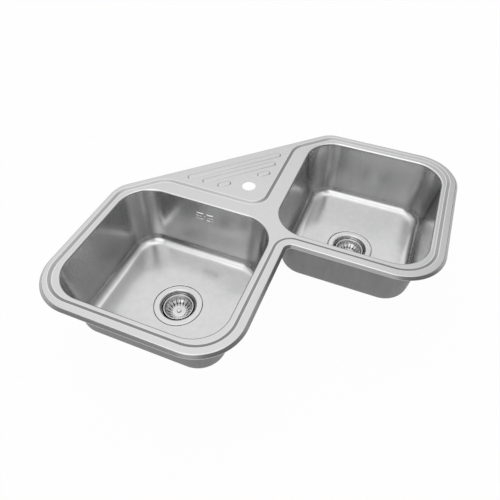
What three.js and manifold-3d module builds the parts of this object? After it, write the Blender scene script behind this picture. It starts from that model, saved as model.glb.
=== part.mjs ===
// Corner kitchen sink: a pressed steel deck for a worktop corner, with two drawn bowls, a raised
// rear triangle that carries the drainer ribs and the tap hole, and a basket waste in each bowl.
// Millimetres, +Z up. The plan is drawn from the corner where the two wall-side edges would meet:
// the right arm runs along +X, the left arm along -Y, and Z = 0 is the worktop's surface.
import * as THREE from "three";
import { mergeVertices } from "three/addons/utils/BufferGeometryUtils.js";
import Module from "manifold-3d";

const wasm = await Module();
wasm.setup();

// ---------- Driving dimensions ----------

const gap = 0.3; // between pieces that touch
const sheet = 1; // steel sheet of the deck and the bowls

// Outline of the deck
const armLength = 830;
const armDepth = 480;
const cornerRadius = 110;
const chamferRadius = 70;
const notchRadius = 14;

// Turned-down edge of the rim
const rimHeight = 8; // rim's top above the worktop
const rimEdgeRadius = 3;
const skirtClearance = 0.5; // skirt's lower edge above the worktop

// Sunken deck round the bowls
const stepDrop = 4;
const stepWidth = 8;
const rimWidthWall = 17;
const rimWidthEnd = 21.5;
const rimWidthFront = 23;
const rimWidthChamfer = 20;
const triangleMargin = 49; // from the bowls' inner ends to the triangle's front edges
const chamferRun = 77; // from the triangle's front edges out to the ends of the rear chamfer
const triangleApexRadius = 38;
const triangleSideRadius = 60;

// Bowls
const bowlWallMargin = 39; // from the wall-side edge
const bowlFrontMargin = 45; // from the front edge
const bowlEndMargin = 41; // from the arm's end
const bowlOverlap = 13; // how far a bowl's inner end lies behind the other bowl's front wall
const bowlDepth = 174; // rim's top to the floor, at the floor's edge
const bowlCornerRadius = 80;
const bowlFloorRadius = 27; // between wall and floor
const bowlDraft = 6; // degrees
const lipRadius = 5; // where the deck turns down into a bowl
const collarHeight = 3; // straight part of the lip that the bowl is welded to
const floorFall = 4; // from the floor's edge to the waste
const leftWasteOffset = [13, -14.5]; // from the middle of the bowl
const rightWasteOffset = [-0.5, -21];

// Tap hole and drainer ribs, placed along the diagonal from the wall corner
const tapHoleRadius = 17.5;
const tapHoleBreak = 0.5; // bevel of the hole's upper edge
const tapHoleSetback = 75.5; // from the triangle's front corner
const ribHeight = 2;
const ribWidth = 19;
const ribEndRadius = 9;
const ribSlope = 4; // width of a rib's sloping side
const ribPitch = 30.6;
const ribSetback = 41.3; // from the chamfer to the first rib's axis
const ribTapSpacing = 31; // least distance from the tap hole's axis back to a rib's
const ribEndClearance = 22; // from a rib's end to the triangle's front edges
const ribTapClearance = 38; // from the tap hole's axis to the end of a rib it interrupts

// Rim seal
const sealWidth = 9;

// Basket wastes, measured down from the flange's top
const cupRadius = 44; // inside
const cupDepth = 38;
const cupLipRadius = 3;
const cupBottomRadius = 11;
const cupSheet = 1;
const cupHoleClearance = 1.5;
const cupSlots = 4;
const cupSlotInner = 13;
const cupSlotMargin = 7; // from a slot's outer end to the edge of the cup's flat floor
const cupSlotBridge = 7; // width of the bars between the slots
const wasteFlangeWidth = 17; // outside the cup
const flangeBevelWidth = 1.5;
const flangeBevelHeight = 0.6;
const wasteRecessClearance = 1.2;
const wasteRecessDepth = 2.6;
const flangeSealWidth = 9;
const flangeSealSetback = 1.5; // from the edge of the bowl's hole
const bodyCupClearance = 5;
const bodyWall = 3;
const bodyFlangeWidth = 10; // from the body's inside
const bodyFlangeThickness = 4;
const bodySealThickness = 3;
const bodyClearance = 5; // between the cup's underside and the body's floor
const bodyFloorFall = 12;
const outletRadius = 23.9; // outside, over the thread
const outletWall = 3.2;
const outletLength = 34;
const threadDepth = 1.2;
const threadPitch = 3;
const threadRidges = 6;
const bossRadius = 8;
const bossHeight = 16;
const bossStand = 1; // above the body's floor
const armWidth = 4;
const armHeight = 8;
const armCount = 4;
const screwRadius = 4;
const screwLength = 20;
const screwHeadRadius = 8;
const screwHeadHeight = 3;
const screwHeadBevel = 1.5;
const screwSlotWidth = 1.6;
const screwSlotDepth = 1.2;

// Strainer baskets
const basketCupClearance = 6; // round the rim
const basketRimWidth = 2.4;
const basketRimDepth = 8; // below the flange's top
const basketWallInset = 3.6; // in from the rim's edge, as are the waist, the floor and the slots
const basketWallDepth = 10; // of the wall's upper end
const basketWaistInset = 4.6;
const basketWaistDepth = 17.5;
const basketFloorInset = 10;
const basketDepth = 29;
const basketBend = 2.2; // between wall and floor
const basketSheet = 0.8;
const basketSlots = 18;
const basketSlotWidth = 3;
const basketSlotInset = 4;
const basketSlotLength = 9.5;
const basketSlotDepth = 11; // of a slot's upper end
const domeInset = 6; // in from the floor's edge
const domeHeight = 3;
const domeSlope = 3;
const knobRadius = 6;
const knobHeight = 4;
const knobBevel = 1.2;
const knobStemRadius = 3;
const footRadius = 7;
const footHeight = 1.5;
const plugSheet = 2;
const plugBevel = 3;
const plugTaper = 1;
const plugLip = 4; // width of the lip that seals on the cup's floor
const plugLipSlope = 2;

// Overflow in the left bowl's back wall
const overflowOffset = 3; // from the middle of the wall
const overflowDrop = 48; // below the rim's top
const louvrePitch = 8.7;
const louvreHeight = 3.2;
const louvreOuter = 23.3; // from the middle to a louvre's far end
const louvreInner = 4.3;
const louvreInnerMiddle = 9; // the middle pair stops short of the screw
const gasketMargin = 10; // round the louvres
const gasketThickness = 2;
const housingMargin = 8; // round the louvres
const housingDepth = 26;
const housingWall = 2;
const housingCornerRadius = 6;
const housingBossRadius = 5;
const overflowScrewRadius = 2.5;
const overflowScrewLength = 18;
const overflowScrewHeadRadius = 4;
const overflowScrewHeadHeight = 1.6;
const overflowScrewHeadBevel = 0.8;
const spigotRadius = 11;
const spigotBore = 8;
const spigotLength = 16;
const spigotSetback = 17; // from the wall's inside face

// Overflow hose, its nuts and washers
const hoseRadius = 10; // over the ribs
const hoseRoot = 8.4; // between the ribs
const hoseBore = 7.2;
const hoseRibPitch = 5;
const hoseBend = 48;
const hoseCollarRadius = 11; // held between the nut's lip and the washer
const hoseCollarLength = 2;
const washerThickness = 2;
const inletDepth = 28; // axis of the body's inlet below the flange's top
const inletLength = 16;
const nutRadius = 14.5;
const nutGrip = 10; // length of spigot inside the nut
const nutLip = 3;
const nutLipClearance = 0.8; // round the hose
const nutSides = 8;

// Facets
const roundSteps = 24;
const smallSteps = 16;
const cornerSteps = 5; // in a right angle
const smallCorner = 20; // a corner of a smaller radius gets half the steps

// ---------- Worked out from them ----------

const wasteFlangeRadius = cupRadius + wasteFlangeWidth;
const rimTop = rimHeight;
const deckTop = rimTop - stepDrop;
const collarBottom = deckTop - lipRadius - collarHeight;
const bowlTop = collarBottom - gap;
const floorEdge = rimTop - bowlDepth;
const wasteTop = floorEdge - floorFall; // the waste flange's top
const draftAngle = THREE.MathUtils.degToRad(bowlDraft);
const diagonal = Math.SQRT1_2;
const clearOfAll = 30; // how far a cutting shape runs past what it cuts

// A bowl runs from its inner end to its outer end along the arm, and from its wall side to its
// front across it. The triangle, and the chamfer behind it, keep their distance from the bowls.
const bowlFront = armDepth - bowlFrontMargin;
const bowlInnerEnd = bowlFront - bowlOverlap;
const bowlOuterEnd = armLength - bowlEndMargin;
const triangleReach = bowlInnerEnd - triangleMargin; // from each wall-side edge
const chamferStart = triangleReach + chamferRun; // from the wall corner to the chamfer's ends
const chamferReach = chamferStart * diagonal;

function bowlPlan(x, y, wasteOffset) {
  const middle = new THREE.Vector2((x[0] + x[1]) / 2, (y[0] + y[1]) / 2);
  return { x, y, middle, waste: new THREE.Vector2(...wasteOffset).add(middle) };
}

const bowls = {
  left: bowlPlan([bowlWallMargin, bowlFront], [-bowlOuterEnd, -bowlInnerEnd], leftWasteOffset),
  right: bowlPlan([bowlInnerEnd, bowlOuterEnd], [-bowlFront, -bowlWallMargin], rightWasteOffset),
};

// ---------- Materials ----------

const material = (color, roughness, metalness) =>
  new THREE.MeshStandardMaterial({ color, roughness, metalness });
const satinSteel = material(0xc9cacb, 0.32, 1);
const brightSteel = material(0xd4d5d6, 0.2, 1);
const foam = material(0x2c2d2f, 0.95, 0);
const rubber = material(0x202122, 0.8, 0);
const plastic = material(0xe4e4e0, 0.5, 0);

// ---------- Solids ----------

// Shapes are geometries, placed by three.js. They become manifold solids only to be joined or cut.
function toSolid(geometry) {
  let bare = geometry;
  if (geometry.hasAttribute("normal")) {
    bare = geometry.clone();
    bare.deleteAttribute("normal");
    bare.deleteAttribute("uv");
    bare = mergeVertices(bare, 1e-4);
  }
  return new wasm.Manifold(
    new wasm.Mesh({
      numProp: 3,
      vertProperties: new Float32Array(bare.attributes.position.array),
      triVerts: new Uint32Array(bare.index.array),
    }),
  );
}

function toGeometry(solid) {
  const { vertProperties, triVerts } = solid.getMesh();
  return indexed(vertProperties, triVerts);
}

function indexed(position, index) {
  const geometry = new THREE.BufferGeometry();
  geometry.setAttribute("position", new THREE.BufferAttribute(new Float32Array(position), 3));
  geometry.setIndex(new THREE.BufferAttribute(new Uint32Array(index), 1));
  return geometry;
}

function join(...shapes) {
  return toGeometry(shapes.map(toSolid).reduce((whole, one) => whole.add(one)));
}

function cut(shape, ...tools) {
  return toGeometry(tools.map(toSolid).reduce((left, tool) => left.subtract(tool), toSolid(shape)));
}

function common(one, other) {
  return toGeometry(toSolid(one).intersect(toSolid(other)));
}

// A closed body through rings of equal point counts, listed from the bottom up.
function loft(rings) {
  const count = rings[0].points.length;
  const position = rings.flatMap(({ z, points }) => points.flatMap((p) => [p.x, p.y, z]));
  const index = [];
  for (let start = 0; start < (rings.length - 1) * count; start += count) {
    for (let i = 0; i < count; i++) {
      const a = start + i;
      const b = start + ((i + 1) % count);
      index.push(a, b, b + count, a, b + count, a + count);
    }
  }
  const last = (rings.length - 1) * count;
  for (const [a, b, c] of THREE.ShapeUtils.triangulateShape(rings[0].points, []))
    index.push(a, c, b);
  for (const [a, b, c] of THREE.ShapeUtils.triangulateShape(rings.at(-1).points, []))
    index.push(last + a, last + b, last + c);
  return indexed(position, index);
}

// A turned body about Z: [radius, height] pairs, anticlockwise round the section.
function turned(section, steps = roundSteps) {
  const points = section.map(([r, z]) => new THREE.Vector2(r, z));
  if (section[0][0] > 0 || section.at(-1)[0] > 0) points.push(points[0].clone());
  return new THREE.LatheGeometry(points, steps).rotateX(Math.PI / 2);
}

function cylinder(radius, bottom, top, steps = roundSteps) {
  return turned([[0, bottom], [radius, bottom], [radius, top], [0, top]], steps);
}

function flatRing(inner, outer, bottom, top, steps = roundSteps) {
  return turned([[inner, bottom], [outer, bottom], [outer, top], [inner, top]], steps);
}

// A sheet of one thickness, turned about Z. The path of [radius, height] points is its upper face,
// from the rim to the middle.
function pressed(path, thickness, steps = roundSteps) {
  const under = path.map(([r, z], i) => {
    const [rBefore, zBefore] = path[Math.max(i - 1, 0)];
    const [rAfter, zAfter] = path[Math.min(i + 1, path.length - 1)];
    const before = new THREE.Vector2(r - rBefore, z - zBefore).normalize();
    const after = new THREE.Vector2(rAfter - r, zAfter - z).normalize();
    const along = before.clone().add(after).normalize();
    const reach = thickness / along.dot(i > 0 ? before : after);
    return [r - along.y * reach, z + along.x * reach];
  });
  return turned([...under.reverse(), ...path], steps);
}

// A copy of the shape turned about Z to each of `count` even directions.
function evenly(count, shape, offset = 0) {
  return Array.from({ length: count }, (_, i) =>
    shape.clone().rotateZ(((i + offset) * 2 * Math.PI) / count),
  );
}

// A polygon corner with the radius it is rounded by.
const at = (x, y, radius) => Object.assign(new THREE.Vector2(x, y), { radius });

// An anticlockwise polygon moved in by `inset` and rounded. A corner's radius shrinks with the
// inset where the polygon is convex and grows where it is hollow.
function rounded(corners, inset = 0) {
  return corners.flatMap((here, i) => {
    const along = new THREE.Vector2().subVectors(here, corners.at(i - 1)).normalize();
    const onward = new THREE.Vector2().subVectors(corners[(i + 1) % corners.length], here).normalize();
    const turn = Math.atan2(along.cross(onward), along.dot(onward));
    const side = Math.sign(turn);
    const radius = here.radius - side * inset;
    const inward = new THREE.Vector2(-along.y, along.x);
    const reach = Math.tan(Math.abs(turn) / 2);
    const centre = here
      .clone()
      .addScaledVector(inward, inset + side * radius)
      .addScaledVector(along, -side * inset * reach - radius * reach);
    const fineness = here.radius < smallCorner ? cornerSteps / 2 : cornerSteps;
    const steps = Math.max(2, Math.round((fineness * Math.abs(turn)) / (Math.PI / 2)));
    const start = Math.atan2(-side * inward.y, -side * inward.x);
    return Array.from({ length: steps + 1 }, (_, k) => {
      const angle = start + (turn * k) / steps;
      return new THREE.Vector2(Math.cos(angle), Math.sin(angle)).multiplyScalar(radius).add(centre);
    });
  });
}

const ring = (corners, inset, z) => ({ z, points: rounded(corners, inset) });

// Angles of a quarter round edge.
const quarter = [0, 0.5, 1].map((part) => (part * Math.PI) / 2);

const corner = new THREE.Group(); // the whole sink, drawn from the wall corner

function add(name, shape, look, parent = corner) {
  const mesh = new THREE.Mesh(shape, look);
  shape.computeVertexNormals();
  mesh.name = name;
  parent.add(mesh);
}

// ---------- Deck ----------

// The outline, anticlockwise from the right arm's wall-side end.
const outline = [
  at(armLength, 0, cornerRadius),
  at(chamferStart, 0, chamferRadius),
  at(0, -chamferStart, chamferRadius),
  at(0, -armLength, cornerRadius),
  at(armDepth, -armLength, cornerRadius),
  at(armDepth, -armDepth, notchRadius),
  at(armLength, -armDepth, cornerRadius),
];

// The top edge of the step down to the sunken deck, which leaves the rim and the rear triangle.
const stepCorner = cornerRadius - rimWidthEnd;
const stepChamferCorner = chamferRadius - rimWidthWall;
const chamferInner = chamferStart + rimWidthChamfer / diagonal;
const stepEdge = [
  at(armLength - rimWidthEnd, -rimWidthWall, stepCorner),
  at(chamferInner - rimWidthWall, -rimWidthWall, stepChamferCorner),
  at(triangleReach, triangleReach - chamferInner, triangleSideRadius),
  at(triangleReach, -triangleReach, triangleApexRadius),
  at(chamferInner - triangleReach, -triangleReach, triangleSideRadius),
  at(rimWidthWall, rimWidthWall - chamferInner, stepChamferCorner),
  at(rimWidthWall, rimWidthEnd - armLength, stepCorner),
  at(armDepth - rimWidthFront, rimWidthEnd - armLength, stepCorner),
  at(armDepth - rimWidthFront, rimWidthFront - armDepth, notchRadius + rimWidthFront),
  at(armLength - rimWidthEnd, rimWidthFront - armDepth, stepCorner),
];

const bowlOutline = ({ x, y }) => [
  at(x[1], y[1], bowlCornerRadius),
  at(x[0], y[1], bowlCornerRadius),
  at(x[0], y[0], bowlCornerRadius),
  at(x[1], y[0], bowlCornerRadius),
];

// In the shapes below `skin` is how far under the sheet's upper face the shape's surface runs.

function rimSlab(skin, bottom) {
  const radius = rimEdgeRadius - skin;
  const edge = quarter.map((a) =>
    ring(outline, skin + radius * (1 - Math.cos(a)), rimTop - skin - radius * (1 - Math.sin(a))),
  );
  return loft([ring(outline, skin, bottom), ...edge]);
}

// The hollow above the sunken deck.
function sunken(skin) {
  return loft([
    ring(stepEdge, stepWidth - skin, deckTop - skin),
    ring(stepEdge, -skin, rimTop - skin),
    ring(stepEdge, -skin, rimTop + clearOfAll),
  ]);
}

// A bowl's opening in the sunken deck, flared by the lip.
function opening(bowl, skin) {
  const radius = lipRadius - skin;
  const lip = quarter.map((a) =>
    ring(
      bowlOutline(bowl),
      -skin - radius * (1 - Math.cos(a)),
      deckTop - skin - radius * (1 - Math.sin(a)),
    ),
  );
  return loft([
    ring(bowlOutline(bowl), -skin, collarBottom - clearOfAll),
    ...lip,
    ring(bowlOutline(bowl), -skin - radius, rimTop + clearOfAll),
  ]);
}

// A point of the deck, by its reach along the diagonal and its place across it.
function onDiagonal(reach, across) {
  return new THREE.Vector2((reach + across) * diagonal, (across - reach) * diagonal);
}

const tapHoleReach = triangleReach / diagonal - tapHoleSetback;
const ribFirstReach = chamferReach + ribSetback;
const ribRows = 1 + Math.floor((tapHoleReach - ribTapSpacing - ribFirstReach) / ribPitch);

function rib(reach, from, to, skin) {
  const half = ribWidth / 2;
  const ends = [[half, to], [-half, to], [-half, from], [half, from]];
  const corners = ends.map(([off, across]) => {
    const { x, y } = onDiagonal(reach + off, across);
    return at(x, y, ribEndRadius);
  });
  return loft([
    ring(corners, skin, deckTop),
    ring(corners, skin, rimTop - skin),
    ring(corners, skin + ribSlope, rimTop - skin + ribHeight),
  ]);
}

function ribs(skin) {
  return Array.from({ length: ribRows }, (_, row) => {
    const reach = ribFirstReach + row * ribPitch;
    const end = (triangleReach - ribEndClearance) / diagonal - reach;
    const meetsTap = reach + ribWidth / 2 > tapHoleReach - ribTapClearance;
    return meetsTap
      ? [rib(reach, -end, -ribTapClearance, skin), rib(reach, ribTapClearance, end, skin)]
      : [rib(reach, -end, end, skin)];
  }).flat();
}

function deck() {
  const both = Object.values(bowls);
  const collars = both.map((bowl) =>
    loft([
      ring(bowlOutline(bowl), -sheet, collarBottom),
      ring(bowlOutline(bowl), -sheet, deckTop - sheet),
    ]),
  );
  const outside = join(cut(rimSlab(0, skirtClearance), sunken(0)), ...ribs(0), ...collars);
  const hollow = join(cut(rimSlab(sheet, collarBottom - clearOfAll), sunken(sheet)), ...ribs(sheet));
  const underside = cut(hollow, ...both.map((bowl) => opening(bowl, sheet)));
  const tap = onDiagonal(tapHoleReach, 0);
  const tapHole = turned(
    [
      [0, -clearOfAll],
      [tapHoleRadius, -clearOfAll],
      [tapHoleRadius, -tapHoleBreak],
      [tapHoleRadius + tapHoleBreak, 0],
      [tapHoleRadius + tapHoleBreak, clearOfAll],
      [0, clearOfAll],
    ],
  ).translate(tap.x, tap.y, rimTop);
  return cut(outside, underside, ...both.map((bowl) => opening(bowl, 0)), tapHole);
}

add("deck", deck(), satinSteel);

// ---------- Bowls ----------

// How far a bowl's wall has moved in at a height.
const wallInset = (z) => Math.tan(draftAngle) * (bowlTop - z);

// A ring round the waste, with its points set to meet a bowl's.
function wasteRing(bowl, radius, z, count) {
  const points = Array.from({ length: count }, (_, i) => {
    const angle = ((i + 0.5) / count) * 2 * Math.PI;
    return new THREE.Vector2(Math.cos(angle), Math.sin(angle)).multiplyScalar(radius).add(bowl.waste);
  });
  return { z, points };
}

// A bowl's inside as a solid, or its outside with `skin` of one sheet.
function bowlForm(bowl, skin) {
  const centreZ = floorEdge + bowlFloorRadius;
  const tangentZ = centreZ - bowlFloorRadius * Math.sin(draftAngle);
  const centreInset = wallInset(tangentZ) + bowlFloorRadius * Math.cos(draftAngle);
  const radius = bowlFloorRadius + skin;
  const bend = [0, 0.25, 0.5, 0.75, 1].map((part) => {
    const angle = THREE.MathUtils.lerp(Math.PI / 2, draftAngle, part);
    const inset = centreInset - radius * Math.cos(angle);
    return ring(bowlOutline(bowl), inset, centreZ - radius * Math.sin(angle));
  });
  const count = bend[0].points.length;
  const recess = wasteFlangeRadius + wasteRecessClearance + skin;
  return loft([
    wasteRing(bowl, recess, wasteTop - wasteRecessDepth - skin, count),
    wasteRing(bowl, recess, wasteTop - skin, count),
    ...bend,
    ring(bowlOutline(bowl), -skin / Math.cos(draftAngle), bowlTop),
  ]);
}

function bowlShell(bowl) {
  const { x, y } = bowl.waste;
  const inside = bowlForm(bowl, 0);
  const mouth = loft([ring(bowlOutline(bowl), 0, bowlTop - gap), ring(bowlOutline(bowl), 0, rimTop)]);
  const wasteHole = cylinder(cupRadius + cupSheet + cupHoleClearance, -clearOfAll, clearOfAll);
  return cut(bowlForm(bowl, sheet), inside, wasteHole.translate(x, y, wasteTop), mouth);
}

// The inside face of the left bowl's back wall: x along it, y out through it, z up it.
const overflowZ = rimTop - overflowDrop;
const overflowPlace = new THREE.Group();
overflowPlace.position.set(
  bowls.left.middle.x + overflowOffset,
  bowls.left.y[1] - wallInset(overflowZ),
  overflowZ,
);
overflowPlace.rotation.x = -draftAngle;
overflowPlace.updateMatrix();
corner.add(overflowPlace);
const ontoWall = (shape) => shape.applyMatrix4(overflowPlace.matrix);

// A round shape's axis laid along the wall's outward direction.
const outward = (shape) => shape.rotateX(-Math.PI / 2);

function louvres() {
  return [-louvrePitch, 0, louvrePitch].flatMap((z) => {
    const inner = z === 0 ? louvreInnerMiddle : louvreInner;
    const width = louvreOuter - inner;
    return [-1, 1].map((side) =>
      new THREE.BoxGeometry(width, clearOfAll, louvreHeight).translate(
        side * (inner + width / 2),
        0,
        z,
      ),
    );
  });
}

const overflowScrewHole = outward(
  cylinder(overflowScrewRadius + gap, -clearOfAll, clearOfAll, smallSteps),
);

add(
  "left_bowl",
  cut(bowlShell(bowls.left), ...[...louvres(), overflowScrewHole].map(ontoWall)),
  satinSteel,
);
add("right_bowl", bowlShell(bowls.right), satinSteel);

// ---------- Rim seal ----------

function rimSeal() {
  const top = rimTop - sheet - gap;
  const form = (inset, low, high) => loft([ring(outline, inset, low), ring(outline, inset, high)]);
  const inner = rimEdgeRadius + sealWidth;
  return cut(form(rimEdgeRadius, 0, top), form(inner, -clearOfAll, clearOfAll));
}

add("rim_seal", rimSeal(), foam);

// ---------- Basket wastes ----------

// In this part z = 0 is the top of the waste's flange.
const cupOutside = cupRadius + cupSheet;
const cupFloorRadius = cupRadius - cupBottomRadius;
const flangeSealInner = cupOutside + cupHoleClearance + flangeSealSetback;
const recessFloor = -wasteRecessDepth;
const recessUnderside = recessFloor - sheet;
const bodyRadius = cupOutside + bodyCupClearance; // inside
const bodyFlangeRadius = bodyRadius + bodyFlangeWidth;
const bodyTop = recessUnderside - 2 * gap - bodySealThickness;
const bodyFloor = -(cupDepth + cupSheet + bodyClearance);
const outletTop = bodyFloor - bodyFloorFall;
const outletBottom = outletTop - outletLength;
const outletRoot = outletRadius - threadDepth;
const outletBore = outletRoot - outletWall;

// The flange and the cup below it, in one pressing.
function wasteFlange() {
  const lip = quarter.map((a) => [
    cupRadius + cupLipRadius * (1 - Math.sin(a)),
    -cupLipRadius * (1 - Math.cos(a)),
  ]);
  const bottom = quarter.map((a) => [
    cupRadius - cupBottomRadius * (1 - Math.cos(a)),
    cupBottomRadius * (1 - Math.sin(a)) - cupDepth,
  ]);
  const shell = pressed(
    [
      [wasteFlangeRadius, -flangeBevelHeight],
      [wasteFlangeRadius - flangeBevelWidth, 0],
      ...lip,
      ...bottom,
      [screwRadius + gap, -cupDepth],
    ],
    cupSheet,
  );
  const cupSlotOuter = cupFloorRadius - cupSlotMargin;
  const half = Math.PI / cupSlots;
  const innerSpan = half - cupSlotBridge / 2 / cupSlotInner;
  const outerSpan = half - cupSlotBridge / 2 / cupSlotOuter;
  const outline = new THREE.Shape();
  outline.absarc(0, 0, cupSlotOuter, -outerSpan, outerSpan, false);
  outline.absarc(0, 0, cupSlotInner, innerSpan, -innerSpan, true);
  const slot = new THREE.ExtrudeGeometry(outline, {
    depth: clearOfAll,
    bevelEnabled: false,
    curveSegments: 5,
  });
  slot.translate(0, 0, -cupDepth - clearOfAll / 2);
  return cut(shell, ...evenly(cupSlots, slot));
}

function wasteBody(inletDirection) {
  const thread = Array.from({ length: threadRidges }, (_, i) => {
    const z = outletBottom + (i + 0.5) * threadPitch;
    return [[outletRoot, z], [outletRadius, z + threadPitch / 2]];
  }).flat();
  const outer = [
    [outletRoot, outletBottom],
    ...thread,
    [outletRoot, outletTop - bodyWall],
    [bodyRadius + bodyWall, bodyFloor],
    [bodyRadius + bodyWall, bodyTop - bodyFlangeThickness],
    [bodyFlangeRadius, bodyTop - bodyFlangeThickness],
    [bodyFlangeRadius, bodyTop],
  ];
  const inner = [
    [bodyRadius, bodyTop],
    [bodyRadius, bodyFloor],
    [outletBore, outletTop],
    [outletBore, outletBottom],
  ];
  const bossTop = bodyFloor + bossStand;
  const bossBottom = bossTop - bossHeight;
  const armReach = bodyRadius + bodyWall;
  const arm = new THREE.BoxGeometry(armReach, armWidth, armHeight);
  arm.translate(armReach / 2, 0, bodyFloor - armHeight / 2);
  const filled = turned([[0, outletBottom], ...outer, [0, bodyTop]], smallSteps);
  const arms = common(join(...evenly(armCount, arm, 0.5)), filled);
  let body = join(turned([...outer, ...inner], smallSteps), arms);
  body = join(body, cylinder(bossRadius, bossBottom, bossTop, smallSteps));
  body = cut(body, cylinder(screwRadius + gap, outletBottom, clearOfAll, smallSteps));
  if (inletDirection === null) return body;
  const pipe = (radius, from, to) =>
    cylinder(radius, from, to, smallSteps)
      .rotateY(Math.PI / 2)
      .rotateZ(inletDirection)
      .translate(0, 0, -inletDepth);
  const inletEnd = bodyRadius + bodyWall + inletLength;
  body = join(body, pipe(spigotRadius, bodyRadius + bodyWall / 2, inletEnd));
  return cut(body, pipe(spigotBore, bodyRadius - bodyWall, inletEnd + bodyWall));
}

function wasteScrew() {
  const seat = gap - cupDepth;
  const top = seat + screwHeadHeight;
  const screw = turned(
    [
      [0, seat - screwLength],
      [screwRadius, seat - screwLength],
      [screwRadius, seat],
      [screwHeadRadius, seat],
      [screwHeadRadius, top - screwHeadBevel],
      [screwHeadRadius - screwHeadBevel, top],
      [0, top],
    ],
    smallSteps,
  );
  const slot = new THREE.BoxGeometry(3 * screwHeadRadius, screwSlotWidth, 2 * screwSlotDepth);
  return cut(screw, slot.translate(0, 0, top));
}

// The basket stands on its rubber plug, whose lip rests on the cup's floor.
const basketRimRadius = cupRadius - basketCupClearance;
const basketFloorRadius = basketRimRadius - basketFloorInset;
const basketFloor = -basketDepth;
const plugTop = basketFloor - basketSheet - gap;
const plugUnderside = plugTop - plugSheet;
const domeRadius = basketFloorRadius - domeInset;
const domeTop = basketFloor + domeHeight;
const stemHole = knobStemRadius + gap;

function basket() {
  const shell = pressed(
    [
      [basketRimRadius, -basketRimDepth],
      [basketRimRadius - basketRimWidth, -basketRimDepth],
      [basketRimRadius - basketWallInset, -basketWallDepth],
      [basketRimRadius - basketWaistInset, -basketWaistDepth],
      [basketFloorRadius, basketFloor + basketBend],
      [basketFloorRadius - basketBend, basketFloor],
      [domeRadius, basketFloor],
      [domeRadius - domeSlope, domeTop],
      [stemHole, domeTop],
    ],
    basketSheet,
    basketSlots,
  );
  const slot = new THREE.BoxGeometry(basketSlotLength, basketSlotWidth, clearOfAll);
  const slotMiddle = basketRimRadius - basketSlotInset - basketSlotLength / 2;
  slot.translate(slotMiddle, 0, -basketSlotDepth - clearOfAll / 2);
  return cut(shell, ...evenly(basketSlots, slot, 0.5));
}

function plug() {
  const plugRadius = cupFloorRadius;
  const lipBottom = gap - cupDepth;
  const lipOuter = plugRadius - plugTaper;
  const lipInner = lipOuter - plugLip;
  return turned(
    [
      [stemHole, plugUnderside],
      [lipInner - plugLipSlope, plugUnderside],
      [lipInner, lipBottom],
      [lipOuter, lipBottom],
      [plugRadius, plugTop - plugBevel],
      [plugRadius - plugBevel, plugTop],
      [stemHole, plugTop],
    ],
    smallSteps,
  );
}

// The knob's stem goes through the basket and the plug, and its foot holds them together.
function knob() {
  const footTop = plugUnderside - gap;
  const seat = domeTop + gap;
  const top = seat + knobHeight;
  return turned(
    [
      [0, footTop - footHeight],
      [footRadius, footTop - footHeight],
      [footRadius, footTop],
      [knobStemRadius, footTop],
      [knobStemRadius, seat],
      [knobRadius, seat],
      [knobRadius, top - knobBevel],
      [knobRadius - knobBevel, top],
      [0, top],
    ],
    smallSteps,
  );
}

// ---------- Overflow of the left bowl ----------

const gasketFront = sheet + gap;
const housingFront = gasketFront + gasketThickness + gap;
const housingBack = housingFront + housingDepth;
const louvreHalfHeight = louvrePitch + louvreHeight / 2;

// A rounded plate against the wall that reaches `margin` past the louvres.
function plate(margin, front, back, radius = housingCornerRadius) {
  const x = louvreOuter + margin;
  const z = louvreHalfHeight + margin;
  const corners = [at(x, z, radius), at(-x, z, radius), at(-x, -z, radius), at(x, -z, radius)];
  return outward(loft([ring(corners, 0, front), ring(corners, 0, back)]));
}

const gasketHole = plate(housingMargin - housingWall, -clearOfAll, clearOfAll);
const gasketPlate = plate(gasketMargin, gasketFront, gasketFront + gasketThickness);

// The housing leans with the bowl's wall, and its spigot hangs plumb.
const housingBottom = -(louvreHalfHeight + housingMargin);
const spigotTop = new THREE.Vector3(0, spigotSetback, housingBottom + housingWall);
spigotTop.applyMatrix4(overflowPlace.matrix);
const spigotEnd = spigotTop.clone().setZ(spigotTop.z - spigotLength);

function elbow() {
  const hollow = plate(
    housingMargin - housingWall,
    housingFront - clearOfAll,
    housingBack - housingWall,
    housingCornerRadius - housingWall,
  );
  const bossEnd = housingBack - housingWall / 2;
  const boss = outward(cylinder(housingBossRadius, housingFront, bossEnd, smallSteps));
  const screwHole = outward(
    cylinder(overflowScrewRadius + gap, -clearOfAll, overflowScrewLength + gap, smallSteps),
  );
  const pipe = (radius, bottom, top) =>
    cylinder(radius, bottom, top, smallSteps).translate(spigotTop.x, spigotTop.y, 0);
  const housing = ontoWall(join(cut(plate(housingMargin, housingFront, housingBack), hollow), boss));
  const joined = join(housing, pipe(spigotRadius, spigotEnd.z, spigotTop.z));
  const bore = pipe(spigotBore, spigotEnd.z - clearOfAll, spigotTop.z + housingWall);
  return cut(joined, bore, ontoWall(screwHole));
}

function overflowScrew() {
  const seat = -gap;
  const face = seat - overflowScrewHeadHeight;
  return outward(
    turned(
      [
        [0, face],
        [overflowScrewHeadRadius - overflowScrewHeadBevel, face],
        [overflowScrewHeadRadius, face + overflowScrewHeadBevel],
        [overflowScrewHeadRadius, seat],
        [overflowScrewRadius, seat],
        [overflowScrewRadius, overflowScrewLength],
        [0, overflowScrewLength],
      ],
      smallSteps,
    ),
  );
}

add("overflow_gasket", cut(gasketPlate, gasketHole), rubber, overflowPlace);
add("overflow_elbow", elbow(), plastic);
add("overflow_screw", overflowScrew(), brightSteel, overflowPlace);

// ---------- Overflow hose ----------

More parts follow.
